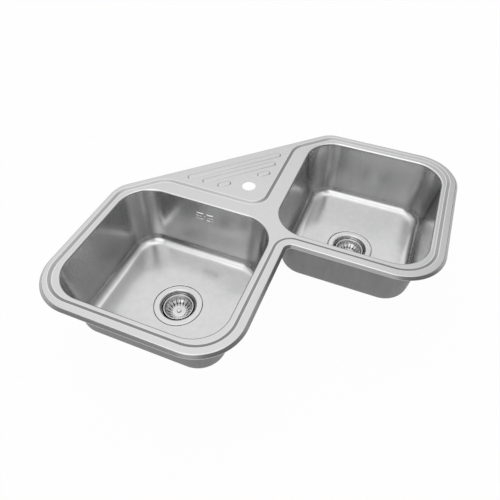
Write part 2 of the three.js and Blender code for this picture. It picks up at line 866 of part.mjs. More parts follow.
// The hose drops from the elbow, bends, and runs level to the left waste body's inlet.
const jointLength = washerThickness + 2 * gap;
const { x: wasteX, y: wasteY } = bowls.left.waste;
const inward = new THREE.Vector3(wasteX - spigotEnd.x, wasteY - spigotEnd.y, 0).normalize();
const inletEnd = new THREE.Vector3(wasteX, wasteY, wasteTop - inletDepth).addScaledVector(
  inward,
  -(bodyRadius + bodyWall + inletLength),
);
const down = new THREE.Vector3(0, 0, -1);
const hoseStart = spigotEnd.clone().addScaledVector(down, jointLength);
const hoseEnd = inletEnd.clone().addScaledVector(inward, -jointLength);

class QuarterBend extends THREE.Curve {
  constructor(centre, from, to) {
    super();
    Object.assign(this, { centre, from, to });
  }
  getPoint(part, target = new THREE.Vector3()) {
    const angle = (part * Math.PI) / 2;
    return target
      .copy(this.centre)
      .addScaledVector(this.from, hoseBend * Math.cos(angle))
      .addScaledVector(this.to, hoseBend * Math.sin(angle));
  }
}

function hoseRoute() {
  const bendStart = hoseStart.clone().setZ(hoseEnd.z + hoseBend);
  const centre = bendStart.clone().addScaledVector(inward, hoseBend);
  const bendEnd = centre.clone().addScaledVector(down, hoseBend);
  const route = new THREE.CurvePath();
  route.add(new THREE.LineCurve3(hoseStart, bendStart));
  route.add(new QuarterBend(centre, inward.clone().negate(), down));
  route.add(new THREE.LineCurve3(bendEnd, hoseEnd));
  return route;
}

// A ribbed hose with a plain cuff and a collar at each end. A ring of its bore lies at every fifth rib.
function hose(route) {
  const sides = 8;
  const ribsPerBoreRing = 5;
  const length = route.getLength();
  const cuff = hoseCollarLength + nutLip + 2 * gap;
  const ribCount = Math.round((length - 2 * cuff) / hoseRibPitch);
  const pitch = (length - 2 * cuff) / ribCount;
  const sideways = new THREE.Vector3().crossVectors(inward, down);
  const position = [];
  const index = [];
  const addRing = (distance, radius) => {
    const centre = route.getPointAt(distance / length);
    const across = route.getTangentAt(distance / length).cross(sideways).normalize();
    for (let side = 0; side < sides; side++) {
      const angle = (2 * Math.PI * side) / sides;
      const point = centre
        .clone()
        .addScaledVector(sideways, radius * Math.cos(angle))
        .addScaledVector(across, radius * Math.sin(angle));
      position.push(...point.toArray());
    }
    return position.length / 3 - sides;
  };
  const band = (from, to) => {
    for (let side = 0; side < sides; side++) {
      const next = (side + 1) % sides;
      index.push(from + side, from + next, to + next, from + side, to + next, to + side);
    }
  };
  const collar = [[0, hoseCollarRadius], [hoseCollarLength, hoseCollarRadius], [hoseCollarLength, hoseRoot]];
  const outline = [...collar];
  const bore = [addRing(0, hoseBore)];
  for (let rib = 0; rib <= ribCount; rib++) {
    const foot = cuff + rib * pitch;
    outline.push([foot, hoseRoot]);
    if (rib < ribCount) outline.push([foot + pitch / 2, hoseRadius]);
    if (rib % ribsPerBoreRing === 0) bore.push(addRing(foot, hoseBore));
  }
  for (const [distance, radius] of collar.reverse()) outline.push([length - distance, radius]);
  bore.push(addRing(length, hoseBore));
  const outer = outline.map(([distance, radius]) => addRing(distance, radius));
  for (let i = 1; i < outer.length; i++) band(outer[i - 1], outer[i]);
  for (let i = 1; i < bore.length; i++) band(bore[i], bore[i - 1]);
  band(bore[0], outer[0]);
  band(outer.at(-1), bore.at(-1));
  return indexed(position, index);
}

add("overflow_hose", hose(hoseRoute()), plastic);

// Each joint's place has its origin at the spigot's end, with +Z into the spigot.
const joints = { upper: [spigotEnd, down.clone().negate()], lower: [inletEnd, inward] };
for (const [name, [end, direction]] of Object.entries(joints)) {
  const place = new THREE.Group();
  place.position.copy(end);
  place.quaternion.setFromUnitVectors(new THREE.Vector3(0, 0, 1), direction);
  corner.add(place);
  const lip = -jointLength - hoseCollarLength - gap;
  const nut = cut(
    cylinder(nutRadius, lip - nutLip, nutGrip, nutSides),
    cylinder(hoseRoot + nutLipClearance, lip - nutLip - gap, nutGrip + gap, smallSteps),
    cylinder(spigotRadius + gap, lip, nutGrip + gap, smallSteps),
  );
  add(`${name}_hose_nut`, nut, plastic, place);
  add(
    `${name}_hose_washer`,
    flatRing(spigotBore, spigotRadius, -gap - washerThickness, -gap, smallSteps),
    rubber,
    place,
  );
}

for (const [side, bowl] of Object.entries(bowls)) {
  const place = new THREE.Group();
  place.position.set(bowl.waste.x, bowl.waste.y, wasteTop);
  corner.add(place);
  const inletDirection = side === "left" ? Math.atan2(-inward.y, -inward.x) : null;
  const flangeSeal = flatRing(
    flangeSealInner,
    flangeSealInner + flangeSealWidth,
    recessFloor + gap,
    -cupSheet - gap,
    smallSteps,
  );
  const bodySeal = flatRing(
    bodyRadius,
    bodyFlangeRadius,
    bodyTop + gap,
    recessUnderside - gap,
    smallSteps,
  );
  add(`${side}_waste_flange`, wasteFlange(), brightSteel, place);
  add(`${side}_flange_seal`, flangeSeal, rubber, place);
  add(`${side}_body_seal`, bodySeal, rubber, place);
  add(`${side}_waste_body`, wasteBody(inletDirection), plastic, place);
  add(`${side}_waste_screw`, wasteScrew(), brightSteel, place);
  add(`${side}_basket`, basket(), brightSteel, place);
  add(`${side}_basket_plug`, plug(), rubber, place);
  add(`${side}_basket_knob`, knob(), brightSteel, place);
}

// The part's origin is under the seal, in the middle of the rear chamfer.
const seat = onDiagonal(chamferReach + rimEdgeRadius + sealWidth / 2, 0);
corner.position.set(-seat.x, -seat.y, 0);

const sink = new THREE.Group();
sink.add(corner);

export default sink;
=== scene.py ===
# A corner kitchen sink: one steel pressing for a worktop corner with two drawn bowls welded into it,
# a basket waste in each bowl, and an overflow that drains the left bowl through a ribbed hose.
import math

import bmesh
import bpy
from mathutils import Matrix, Vector
from mathutils.geometry import tessellate_polygon


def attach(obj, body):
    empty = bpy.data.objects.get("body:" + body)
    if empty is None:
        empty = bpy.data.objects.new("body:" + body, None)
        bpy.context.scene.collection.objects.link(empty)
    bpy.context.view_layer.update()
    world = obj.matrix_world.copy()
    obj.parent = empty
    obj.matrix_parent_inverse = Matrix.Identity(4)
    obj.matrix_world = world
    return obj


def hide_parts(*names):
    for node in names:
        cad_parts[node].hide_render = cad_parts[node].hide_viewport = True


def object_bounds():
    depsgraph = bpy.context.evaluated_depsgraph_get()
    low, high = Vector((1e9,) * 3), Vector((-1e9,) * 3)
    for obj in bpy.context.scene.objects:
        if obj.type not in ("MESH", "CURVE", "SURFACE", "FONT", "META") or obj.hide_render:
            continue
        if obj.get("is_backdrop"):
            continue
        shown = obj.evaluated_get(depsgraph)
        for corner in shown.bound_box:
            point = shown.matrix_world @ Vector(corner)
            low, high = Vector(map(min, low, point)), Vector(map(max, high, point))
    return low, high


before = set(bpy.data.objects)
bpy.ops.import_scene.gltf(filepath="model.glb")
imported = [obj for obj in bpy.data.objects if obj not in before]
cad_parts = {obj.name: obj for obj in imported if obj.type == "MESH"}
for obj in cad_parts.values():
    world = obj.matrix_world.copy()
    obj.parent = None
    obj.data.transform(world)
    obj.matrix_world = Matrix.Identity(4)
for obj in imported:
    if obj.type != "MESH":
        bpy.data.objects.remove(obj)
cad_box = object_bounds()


# ---------- Deck ----------
# The deck is one sheet of stainless steel, 1 mm thick, with a satin finish. It is pressed with a
# raised rim, a sunken floor round the bowls and drainer ribs on the rear triangle, a tap hole is
# punched through it, and its edge falls in a broad bevel to the worktop.

arm_length = 830
arm_depth = 480
corner_radius = 110
chamfer_start = 450
chamfer_radius = 70
notch_radius = 14
sheet = 1

rim_top = 8
rim_fineness = 28
bevel = 5.6
bevel_start = bevel * 0.9, 6.3
bevel_radius = 2.4
bevel_steps = 8
# Painted shade down the skirt and bevel, and a painted highlight where the bevel rounds onto the rim.
bevel_painted_shade = -0.62
bevel_painted_highlight = 0.9
skirt_bottom = 0.5
step_drop = 4
step_width = 8
step_run = 10.6  # the slope's own width, about the middle of the step's band
deck_top = rim_top - step_drop
rim_wall, rim_end, rim_front, rim_chamfer = 17, 21.5, 23, 20
triangle_reach = 373
triangle_apex_radius = 38
triangle_side_radius = 60

bowl_corner_radius = 80
lip_radius = 5
lip_steps = 12
collar_bottom = -4
floor_radius = 27
floor_edge = -166
bend_inset = 41.3

tap_hole_radius = 17.5
tap_hole_reach = 452
rib_height = 2
rib_width = 19
rib_end_radius = 9
rib_slope = 3.6
rib_rows = (359.5, 390.1, 420.7)
rib_end_clearance = 22
rib_tap_clearance = 38
# Painted light on the ribs: painted shade at the foot and on the side, and a painted highlight at the
# top.
rib_painted_light = -0.35, -0.2, 0.8  # at the foot of a rib's side, on it and at its top
# The step gets painted highlights at its two bends and painted shade on its slope.
step_painted_light = 1, -0.6, 1

diagonal = math.sqrt(0.5)
seat_inset = 7.5  # from the rear chamfer in to the origin of the sink's frame
seat = (chamfer_start * diagonal + seat_inset) * diagonal
hold = 0.35  # a narrow strip that keeps the shading of a flat field flat


def placed(x, y, z):
    """A point drawn from the wall corner, in millimetres, as a place in the sink's frame."""
    return Vector((x - seat, y + seat, z)) / 1000


def rounded(corners, inset, fineness, along=1):
    """An anticlockwise outline of (x, y, radius) corners, moved in by inset and rounded, with this
    many steps to a right angle and along the straights."""
    arcs = []
    for i, (x, y, radius) in enumerate(corners):
        here = Vector((x, y))
        before = (here - Vector(corners[i - 1][:2])).normalized()
        after = (Vector(corners[(i + 1) % len(corners)][:2]) - here).normalized()
        turn = math.atan2(before.cross(after), before.dot(after))
        side = math.copysign(1, turn)
        bend = radius - side * inset
        inward = Vector((-before.y, before.x))
        back = math.tan(abs(turn) / 2)
        centre = here + inward * (inset + side * bend) - before * (side * inset + bend) * back
        start = math.atan2(-side * inward.y, -side * inward.x)
        steps = max(3, round(fineness * abs(turn) / (math.pi / 2)))
        angles = [start + turn * step / steps for step in range(steps + 1)]
        arcs.append([centre + bend * Vector((math.cos(a), math.sin(a))) for a in angles])
    points = []
    for i, arc in enumerate(arcs):
        points += arc
        onward = arcs[(i + 1) % len(arcs)][0]
        points += [arc[-1].lerp(onward, step / along) for step in range(1, along)]
    return points


def circle(centre, radius, steps):
    angles = [2 * math.pi * step / steps for step in range(steps)]
    return [centre + radius * Vector((math.cos(a), math.sin(a))) for a in angles]


def on_bend(start, corner, end, part):
    """The point this part of the way along a bend that rounds off a corner."""
    return start * (1 - part) ** 2 + corner * (2 * part * (1 - part)) + end * part**2


def toward(centre, radius, points):
    """The points moved onto a circle, each along its own line to the centre."""
    return [centre + radius * (point - centre).normalized() for point in points]


class Pressing:
    """A surface drawn as rings of points, joined by bands from the outer ring to the inner."""

    def __init__(self, place=placed):
        self.place = place
        self.mesh = bmesh.new()
        # Each point holds an amount of painted light: above 0 a painted highlight, below 0 painted shade.
        self.worn = self.mesh.verts.layers.float.new("worn")

    def ring(self, points, height, worn=0.0):
        made = [self.mesh.verts.new(self.place(x, y, height)) for x, y in points]
        for vertex in made:
            vertex[self.worn] = worn
        return made

    def band(self, outer, inner):
        for i in range(max(len(outer), len(inner))):
            near = [outer[i % len(outer)], outer[(i + 1) % len(outer)]]
            far = [inner[(i + 1) % len(inner)], inner[i % len(inner)]]
            corners = list(dict.fromkeys(near + far))
            if len(corners) > 2:
                self.mesh.faces.new(corners)

    def chain(self, rings):
        """Bands from each ring to the next, up to the last, which it gives back."""
        for outer, inner in zip(rings, rings[1:]):
            self.band(outer, inner)
        return rings[-1]

    def field(self, *loops):
        """Flat sheet inside the first loop and outside the others."""
        flat = [vertex for loop in loops for vertex in loop]
        outlines = [[vertex.co * 1000 for vertex in loop] for loop in loops]
        for corners in tessellate_polygon(outlines):
            a, b, c = (flat[index] for index in corners)
            area = (b.co - a.co).cross(c.co - a.co).z
            if abs(area) > 1e-12:
                self.mesh.faces.new((a, b, c) if area > 0 else (a, c, b))

    def steps(self, outline, profile, **fineness):
        """Rings of one outline through (inset, height, painted light) steps."""
        return [self.ring(rounded(outline, i, **fineness), z, worn) for i, z, worn in profile]


def made(name, mesh):
    """An object of the mesh, or of a bmesh, in the scene."""
    if isinstance(mesh, bmesh.types.BMesh):
        source = mesh
        mesh = bpy.data.meshes.new(name)
        source.to_mesh(mesh)
        source.free()
    thing = bpy.data.objects.new(name, mesh)
    bpy.context.scene.collection.objects.link(thing)
    return thing


def settled(thing):
    """The object with its modifiers worked into its mesh."""
    graph = bpy.context.evaluated_depsgraph_get()
    mesh = bpy.data.meshes.new_from_object(thing.evaluated_get(graph))
    thing.modifiers.clear()
    thing.data = mesh
    mesh.name = thing.name
    return thing


def thickened(thing, *looks, thickness=sheet):
    """The sheet given its thickness, away from the finished side, with its back as a second look."""
    for look in looks:
        thing.data.materials.append(look)
    wall = thing.modifiers.new("sheet", "SOLIDIFY")
    wall.thickness = thickness / 1000
    wall.offset = -1
    wall.use_even_offset = True
    wall.material_offset = 1
    return settled(thing)


def fitted(thing, body, slot, *nodes, look=None, crease=38):
    """Shades the piece, and lets it stand for its nodes on its body."""
    if look:
        thing.data.materials.clear()
        thing.data.materials.append(look)
    thing.data.shade_smooth()
    thing.data.set_sharp_from_angle(angle=math.radians(crease))
    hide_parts(*nodes)
    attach(thing, body)


class Wire:
    """A node's output, which sums and products run through Math nodes."""

    def __init__(self, graph, socket):
        self.graph = graph
        self.socket = socket

    def maths(self, operation, *values):
        return self.graph.node("ShaderNodeMath", {"operation": operation}, dict(enumerate(values)))

    def __add__(self, other):
        return self.maths("ADD", self, other)

    def __sub__(self, other):
        return self.maths("SUBTRACT", self, other)

    def __rsub__(self, other):
        return self.maths("SUBTRACT", other, self)

    def __mul__(self, other):
        return self.maths("MULTIPLY", self, other)

    def __truediv__(self, other):
        return self.maths("DIVIDE", self, other)

    def __pow__(self, other):
        return self.maths("POWER", self, other)

    __radd__ = __add__
    __rmul__ = __mul__

    def other(self, output):
        return Wire(self.graph, self.socket.node.outputs[output])


class Graph:
    """A node tree of a material, of the studio's light or of a modifier."""

    def __init__(self, tree):
        self.tree = tree
        tree.nodes.clear()

    def node(self, kind, settings=None, sockets=None, output=0):
        node = self.tree.nodes.new(kind)
        for name, value in (settings or {}).items():
            setattr(node, name, value)
        for key, value in (sockets or {}).items():
            if isinstance(value, Wire):
                self.tree.links.new(value.socket, node.inputs[key])
            else:
                node.inputs[key].default_value = value
        return Wire(self, node.outputs[output]) if node.outputs else node

    def smooth(self, value, low, high):
        """0 below low and 1 above high, with a soft change between."""
        sockets = {"Value": value, "From Min": low, "From Max": high}
        return self.node("ShaderNodeMapRange", {"interpolation_type": "SMOOTHSTEP"}, sockets)

    def stretched(self, vector, scale):
        return self.node("ShaderNodeVectorMath", {"operation": "MULTIPLY"}, {0: vector, 1: scale})

    def along(self, vector, direction):
        sockets = {0: vector, 1: direction}
        return self.node("ShaderNodeVectorMath", {"operation": "DOT_PRODUCT"}, sockets, output=1)

    def noise(self, vector, scale, detail, roughness):
        sockets = {"Vector": vector, "Scale": scale, "Detail": detail, "Roughness": roughness}
        return self.node("ShaderNodeTexNoise", {}, sockets)

    def mixed(self, factor, one, other):
        """From the first colour at 0 to the second at 1."""
        sockets = {0: factor, 6: one, 7: other}
        return self.node("ShaderNodeMix", {"data_type": "RGBA"}, sockets, output=2)

    def bump(self, height, distance, normal=None):
        sockets = {"Height": height, "Strength": 1.0, "Distance": distance}
        if normal:
            sockets["Normal"] = normal
        return self.node("ShaderNodeBump", {}, sockets)


def material(name):
    look = bpy.data.materials.new(name)
    look.use_nodes = True
    graph = Graph(look.node_tree)
    return look, graph, graph.node("ShaderNodeTexCoord", output="Object")


def surface(graph, **sockets):
    """The material's shader, with its sockets named as on the node."""
    names = {name.replace("_", " ").title(): value for name, value in sockets.items()}
    shader = graph.node("ShaderNodeBsdfPrincipled", {}, names)
    graph.node("ShaderNodeOutputMaterial", {}, {"Surface": shader})


def grey(value):
    return (value, value * 1.001, value * 1.002, 1)


def satin_steel(name, tone, roughness, streaks):
    """Satin stainless steel: a fine even grain and soft streaks down its walls, with a painted highlight
    where the vertex attribute is above 0 and painted shade, a dull grey, where it is below 0."""
    look, graph, place = material(name)
    # The vertex attribute is painted light: its positive part is a painted highlight, its negative part
    # painted shade.
    attribute = graph.node("ShaderNodeAttribute", {"attribute_name": "worn"}).other("Fac")
    worn = attribute.maths("MAXIMUM", attribute, 0)
    painted_shade = worn - attribute
    drawn = graph.noise(graph.stretched(place, (1, 1, 0.03)), 60, 3, 0.55)
    cloud = graph.noise(place, 7, 2, 0.5)
    grain = graph.noise(place, 900, 2, 0.6)
    marks = graph.noise(graph.stretched(place, (1, 1, 0.4)), 260, 2, 0.7)
    shade = (drawn - 0.5) * streaks + (cloud - 0.5) * 0.25 + (grain - 0.5) * 0.06 + 0.5
    colour = graph.mixed(shade, grey(tone * 0.86), grey(tone * 1.1))
    # A painted highlight lightens the steel towards a paler grey, and painted shade darkens it to a dull
    # grey.
    colour = graph.mixed(worn * 0.7, colour, grey(min(1.0, tone * 1.22)))
    colour = graph.mixed(painted_shade, colour, grey(0.3))
    rough = (marks - 0.5) * 0.05 + (cloud - 0.5) * 0.06 - worn * 0.07 + painted_shade * 0.1 + roughness
    waves = graph.bump(cloud * 0.5 + drawn * 0.06 * streaks, 0.002)
    normal = graph.bump(grain * 0.5 + marks * 0.4, 0.000005, waves)
    surface(graph, base_color=colour, metallic=1.0, roughness=rough, normal=normal)
    return look


def raw_steel():
    """The back of the sheet, unpolished: dull, mottled, with drawing marks down the bowls, and darker
    than bare steel as painted shade under the deck and on the bowls' outsides.
    """
    look, graph, place = material("raw_steel")
    drawn = graph.noise(graph.stretched(place, (1, 1, 0.08)), 90, 3, 0.6)
    mottle = graph.noise(place, 28, 4, 0.6)
    grain = graph.noise(place, 1100, 2, 0.6)
    shade = (drawn - 0.5) * 0.5 + (mottle - 0.5) * 0.7 + (grain - 0.5) * 0.35 + 0.5
    # A dark grey, partly the unpolished finish and partly painted shade for the underside and the bowls'
    # outsides.
    colour = graph.mixed(shade, grey(0.17), grey(0.27))
    rough = (mottle - 0.5) * 0.16 + (grain - 0.5) * 0.12 + 0.5
    normal = graph.bump(grain * 0.7 + drawn * 0.3, 0.00008)
    surface(graph, base_color=colour, metallic=0.92, roughness=rough, normal=normal)
    return look


outline = [
    (arm_length, 0, corner_radius),
    (chamfer_start, 0, chamfer_radius),
    (0, -chamfer_start, chamfer_radius),
    (0, -arm_length, corner_radius),
    (arm_depth, -arm_length, corner_radius),
    (arm_depth, -arm_depth, notch_radius),
    (arm_length, -arm_depth, corner_radius),
]
step_corner = corner_radius - rim_end
chamfer_corner = chamfer_radius - rim_wall
chamfer_inner = chamfer_start + rim_chamfer / diagonal
step_edge = [
    (arm_length - rim_end, -rim_wall, step_corner),
    (chamfer_inner - rim_wall, -rim_wall, chamfer_corner),
    (triangle_reach, triangle_reach - chamfer_inner, triangle_side_radius),
    (triangle_reach, -triangle_reach, triangle_apex_radius),
    (chamfer_inner - triangle_reach, -triangle_reach, triangle_side_radius),
    (rim_wall, rim_wall - chamfer_inner, chamfer_corner),
    (rim_wall, rim_end - arm_length, step_corner),
    (arm_depth - rim_front, rim_end - arm_length, step_corner),
    (arm_depth - rim_front, rim_front - arm_depth, notch_radius + rim_front),
    (arm_length - rim_end, rim_front - arm_depth, step_corner),
]


def bowl_outline(x, y):
    corners = [(x[1], y[1]), (x[0], y[1]), (x[0], y[0]), (x[1], y[0])]
    return [(*corner, bowl_corner_radius) for corner in corners]


# Each bowl's mouth, by its reach along the two arms, and the middle of its waste.
left_back = -422
bowls = {
    "left": (bowl_outline((39, 435), (-789, left_back)), Vector((250, -620))),
    "right": (bowl_outline((422, 789), (-435, -39)), Vector((605, -258))),
}
bowl_fineness = {"fineness": 30, "along": 14}

# The wall of a bowl is the line that touches the lip's bend and the bend into the floor.
lip_height = deck_top - lip_radius
bend_height = floor_edge + floor_radius
run = bend_inset + lip_radius
fall = lip_height - bend_height
draft = math.atan2(run, fall) - math.asin((lip_radius + floor_radius) / math.hypot(run, fall))


def wall_inset(height):
    """How far the finished side of a bowl's wall stands in from the bowl's outline."""
    start = lip_radius * (math.cos(draft) - 1), lip_height + lip_radius * math.sin(draft)
    return start[0] + math.tan(draft) * (start[1] - height)


def on_diagonal(reach, across):
    return Vector(((reach + across) * diagonal, (across - reach) * diagonal))


def rib_outline(reach, start, end):
    half = rib_width / 2
    spots = [(half, end), (-half, end), (-half, start), (half, start)]
    return [(*on_diagonal(reach + off, across), rib_end_radius) for off, across in spots]


def rib_outlines():
    for reach in rib_rows:
        end = (triangle_reach - rib_end_clearance) / diagonal - reach
        if reach + rib_width / 2 > tap_hole_reach - rib_tap_clearance:
            yield rib_outline(reach, -end, -rib_tap_clearance)
            yield rib_outline(reach, rib_tap_clearance, end)
        else:
            yield rib_outline(reach, -end, end)


# Where a slope gets painted light, a highlight above 0 and shade below: near its start, across its middle
# and near its end, and how far each goes.
painted_light_spots = [(0.04, 0.14), (0.5, 0.44), (0.96, 0.14)]


def eased_steps(width, start, end, count, worn, bend):
    """A pressed slope from one height to another, rounded over at both ends by bend of its width, with
    the painted light at its start, in its middle and at its end: a painted highlight above 0 and painted
    shade below."""
    for step in range(count + 1):
        part = step / count
        near = min(part, 1 - part)
        rise = near * near / (2 * bend) if near < bend else near - bend / 2
        rise = rise / (1 - bend)
        height = start + (end - start) * (rise if part <= 0.5 else 1 - rise)
        shares = [max(0, 1 - (abs(part - spot) / reach) ** 4) for spot, reach in painted_light_spots]
        yield part * width, height, sum(w * share for w, share in zip(worn, shares))


def deck_sheet():
    """The deck's finished side: its edge, step, ribs and tap hole, and the lips of both bowls."""
    press = Pressing()
    # The skirt and bevel get painted shade, with a faint painted highlight at the skirt's foot and a
    # stronger one where the bevel rounds onto the rim.
    bevel_shade, painted_highlight = bevel_painted_shade, bevel_painted_highlight
    edge = [(0, skirt_bottom, 0.4), (0.15, skirt_bottom + 0.5, bevel_shade / 2), (0.6, skirt_bottom + 1.2, bevel_shade)]
    edge.append((*bevel_start, bevel_shade))
    corner, end = Vector((bevel + 0.3, rim_top)), Vector((bevel + bevel_radius, rim_top))
    for step in range(1, bevel_steps + 1):
        part = step / bevel_steps
        spot = on_bend(Vector(bevel_start), corner, end, part)
        worn = bevel_shade + (painted_highlight - bevel_shade) * min(1, part * 2) - painted_highlight * max(0, part * 2 - 1)
        edge.append((spot.x, spot.y, worn))
    edge.append((bevel + bevel_radius + hold, rim_top, 0))
    rim = press.chain(press.steps(outline, edge, fineness=rim_fineness))

    brink = (step_width - step_run) / 2
    # The step's slope gets painted shade, with painted highlights at its two bends.
    slope = list(eased_steps(step_run, rim_top, deck_top, 32, step_painted_light, bend=0.2))
    slope = [(brink + across, height, worn) for across, height, worn in slope]
    slope = [(brink - hold, rim_top, 0), *slope, (brink + step_run + hold, deck_top, 0)]
    step_rings = press.steps(step_edge, slope, fineness=rim_fineness)
    press.chain(step_rings)

    ribs = []
    rib_top = rim_top + rib_height
    for shape in rib_outlines():
        # Each rib gets painted shade at its foot and side and a painted highlight on top.
        rise = list(eased_steps(rib_slope, rim_top, rib_top, 12, rib_painted_light, bend=0.25))
        rise = [(-hold, rim_top, 0), *rise, (rib_slope + hold, rib_top, 0)]
        rings = press.steps(shape, rise, fineness=10)
        press.chain(rings)
        press.field(rings[-1])
        ribs.append(rings[0])

    tap = on_diagonal(tap_hole_reach, 0)
    # The tap hole's rounded edge carries a painted highlight.
    hole = [(1.0, 0, 0), (0.5, 0, 0.4), (0.15, -0.15, 1), (0, -0.5, 1), (0, -0.8, 0.6)]
    hole = [press.ring(circle(tap, tap_hole_radius + r, 64), rim_top + z, w) for r, z, w in hole]
    press.chain(hole)
    press.field(rim, step_rings[0], *ribs, hole[0])

    mouths = []
    for shape, _ in bowls.values():
        lip = [(-lip_radius - hold, deck_top, 0)]
        # The lip's bend carries a painted highlight, strongest halfway round.
        for step in range(lip_steps + 1):
            angle = (math.pi / 2 - draft) * step / lip_steps
            inset = lip_radius * (math.sin(angle) - 1)
            lip.append((inset, lip_height + lip_radius * math.cos(angle), math.sin(2 * angle)))
        lip.append((wall_inset(collar_bottom), collar_bottom, 0))
        rings = press.steps(shape, lip, **bowl_fineness)
        press.chain(rings)
        mouths.append(rings[0])
    press.field(step_rings[-1], *mouths)
    return press.mesh


deck_steel = satin_steel("deck_steel", 0.66, 0.27, 0.15)
back_steel_painted_shade = raw_steel()
deck = thickened(made("pressed_deck", deck_sheet()), deck_steel, back_steel_painted_shade)
fitted(deck, "sink", "satin_steel", "deck")


# ---------- Bowls ----------
# Each bowl is drawn from the same steel, welded under the deck's turned-down lip and ground flush.
# Its floor falls to a recess round the waste, and drawing leaves soft streaks down its walls. Six
# louvres are pressed through the left bowl's back wall as its overflow.

floor_fall = 4
waste_top = floor_edge - floor_fall
flange_radius = 61
recess_radius = flange_radius + 1.2
recess_bevel = 1.2
recess_depth = 2.6
waste_hole_radius = 46.5
wall_steps, bend_steps, floor_steps = 12, 14, 16


def bowl_sheet(shape, waste):
    """A bowl's finished side, from the weld down its walls and over its floor to the waste."""
    press = Pressing()
    profile = [(wall_inset(collar_bottom), collar_bottom, 0)]
    wall_end = bend_height - floor_radius * math.sin(draft)
    for step in range(1, wall_steps):
        height = collar_bottom + (wall_end - collar_bottom) * step / wall_steps
        profile.append((wall_inset(height), height, 0))
    # The bend into the floor gets a painted highlight that grows towards the floor.
    for step in range(bend_steps + 1):
        angle = draft + (math.pi / 2 - draft) * step / bend_steps
        inset = bend_inset - floor_radius * math.cos(angle)
        height = bend_height - floor_radius * math.sin(angle)
        profile.append((inset, height, 0.25 * step / bend_steps))
    rings = press.steps(shape, profile, **bowl_fineness)

    edge = rounded(shape, bend_inset, **bowl_fineness)
    brim = toward(waste, recess_radius + recess_bevel, edge)
    for step in range(1, floor_steps + 1):
        part = step / floor_steps
        points = [here.lerp(there, part) for here, there in zip(edge, brim)]
        rings.append(press.ring(points, floor_edge - floor_fall * part * part * (3 - 2 * part)))
    # The recess's rounded edge carries a painted highlight.
    rim = [(recess_bevel, -0.05, 0.4), (0.75, -0.15, 1), (0.25, -0.45, 1), (0, -1.2, 0.5)]
    rim += [(0, -2, 0), (-0.2, -2.4, 0), (-0.7, -recess_depth, 0), (-1.5, -recess_depth, 0)]
    for out, down, worn in rim:
        rings.append(press.ring(toward(waste, recess_radius + out, edge), waste_top + down, worn))
    rings.append(press.ring(toward(waste, waste_hole_radius, edge), waste_top - recess_depth))
    press.chain(rings)
    return press.mesh


def cut_from(thing, *tools, operation="DIFFERENCE"):
    """The piece with the tools cut from it, or joined to it."""
    for tool in tools:
        cutting = thing.modifiers.new("cut", "BOOLEAN")
        cutting.operation = operation
        cutting.solver = "EXACT"
        cutting.object = tool
    settled(thing)
    for tool in tools:
        bpy.data.objects.remove(tool)
    return thing


bowl_steel = satin_steel("bowl_steel", 0.66, 0.21, 0.5)
left_bowl = thickened(made("left_basin", bowl_sheet(*bowls["left"])), bowl_steel, back_steel_painted_shade)
right_bowl = thickened(made("right_basin", bowl_sheet(*bowls["right"])), bowl_steel, back_steel_painted_shade)

# The louvres lean with their wall: x runs along the wall, y out through it and z up it. The middle
# row leaves room for the overflow's screw.
overflow_across = 240
overflow_height = -40
overflow_spot = placed(overflow_across, left_back - wall_inset(overflow_height), overflow_height)
overflow_place = Matrix.Translation(overflow_spot) @ Matrix.Rotation(-draft, 4, "X")
louvre_pitch = 8.7
louvre_height = 2.4
louvre_outer = 23.3
louvre_rows = [(-louvre_pitch, 4.3), (0, 9), (louvre_pitch, 4.3)]  # height and inner ends
louvre_cut = 8  # to either side of the wall
hood_radius = 1.8
hood_rings = 25
hood_taper = 0.35
hood_overhang = 0.6  # past the ends and the top of its louvre
hood_stand = 0.2  # into the bowl


def block(low, high, place=Matrix.Identity(4)):
    """A box between two corners in millimetres, as a cutting tool."""
    mesh = bmesh.new()
    bmesh.ops.create_cube(mesh, size=1)
    size = [(h - l) / 1000 for l, h in zip(low, high)]
    middle = [(h + l) / 2000 for l, h in zip(low, high)]
    place = place @ Matrix.Translation(middle) @ Matrix.Diagonal((*size, 1))
    bmesh.ops.transform(mesh, matrix=place, verts=mesh.verts)
    return made("tool", mesh)


def louvre_tools():
    for z, inner in louvre_rows:
        for side in (-1, 1):
            x = sorted((side * inner, side * louvre_outer))
            low = (x[0], -louvre_cut, z - louvre_height / 2)
            yield block(low, (x[1], louvre_cut, z + louvre_height / 2), overflow_place)


class ShapeTree(Graph):
    """A modifier's tree, which makes a shape in its finish from the one that comes in."""

    def __init__(self, name, **inputs):
        super().__init__(bpy.data.node_groups.new(name, "GeometryNodeTree"))
        self.socket("Geometry", "OUTPUT", "Geometry")
        inputs = {"geometry": "Geometry", **inputs, "finish": "Material"}
        for key, kind in inputs.items():
            self.socket(key.replace("_", " ").title(), "INPUT", kind)
        first = self.node("NodeGroupInput")
        self.given = {key: first.other(index) for index, key in enumerate(inputs)}

    def socket(self, name, side, kind):
        self.tree.interface.new_socket(name, in_out=side, socket_type=f"NodeSocket{kind}")

    def swept(self, rings, profile, scale, capped=False):
        """The profile run along the lines that come in, at a scale for each place."""
        line = self.node("GeometryNodeMeshToCurve", {}, {"Mesh": self.given["geometry"]})
        line = self.node("GeometryNodeResampleCurve", {}, {"Curve": line, "Count": rings})
        sockets = {"Curve": line, "Profile Curve": profile, "Scale": scale, "Fill Caps": capped}
        return self.node("GeometryNodeCurveToMesh", {}, sockets)

    def ended(self, shape):
        whole = self.node("GeometryNodeRealizeInstances", {}, {"Geometry": shape})
        sockets = {"Geometry": whole, "Material": self.given["finish"]}
        self.node("NodeGroupOutput", {}, {0: self.node("GeometryNodeSetMaterial", {}, sockets)})
        return self.tree


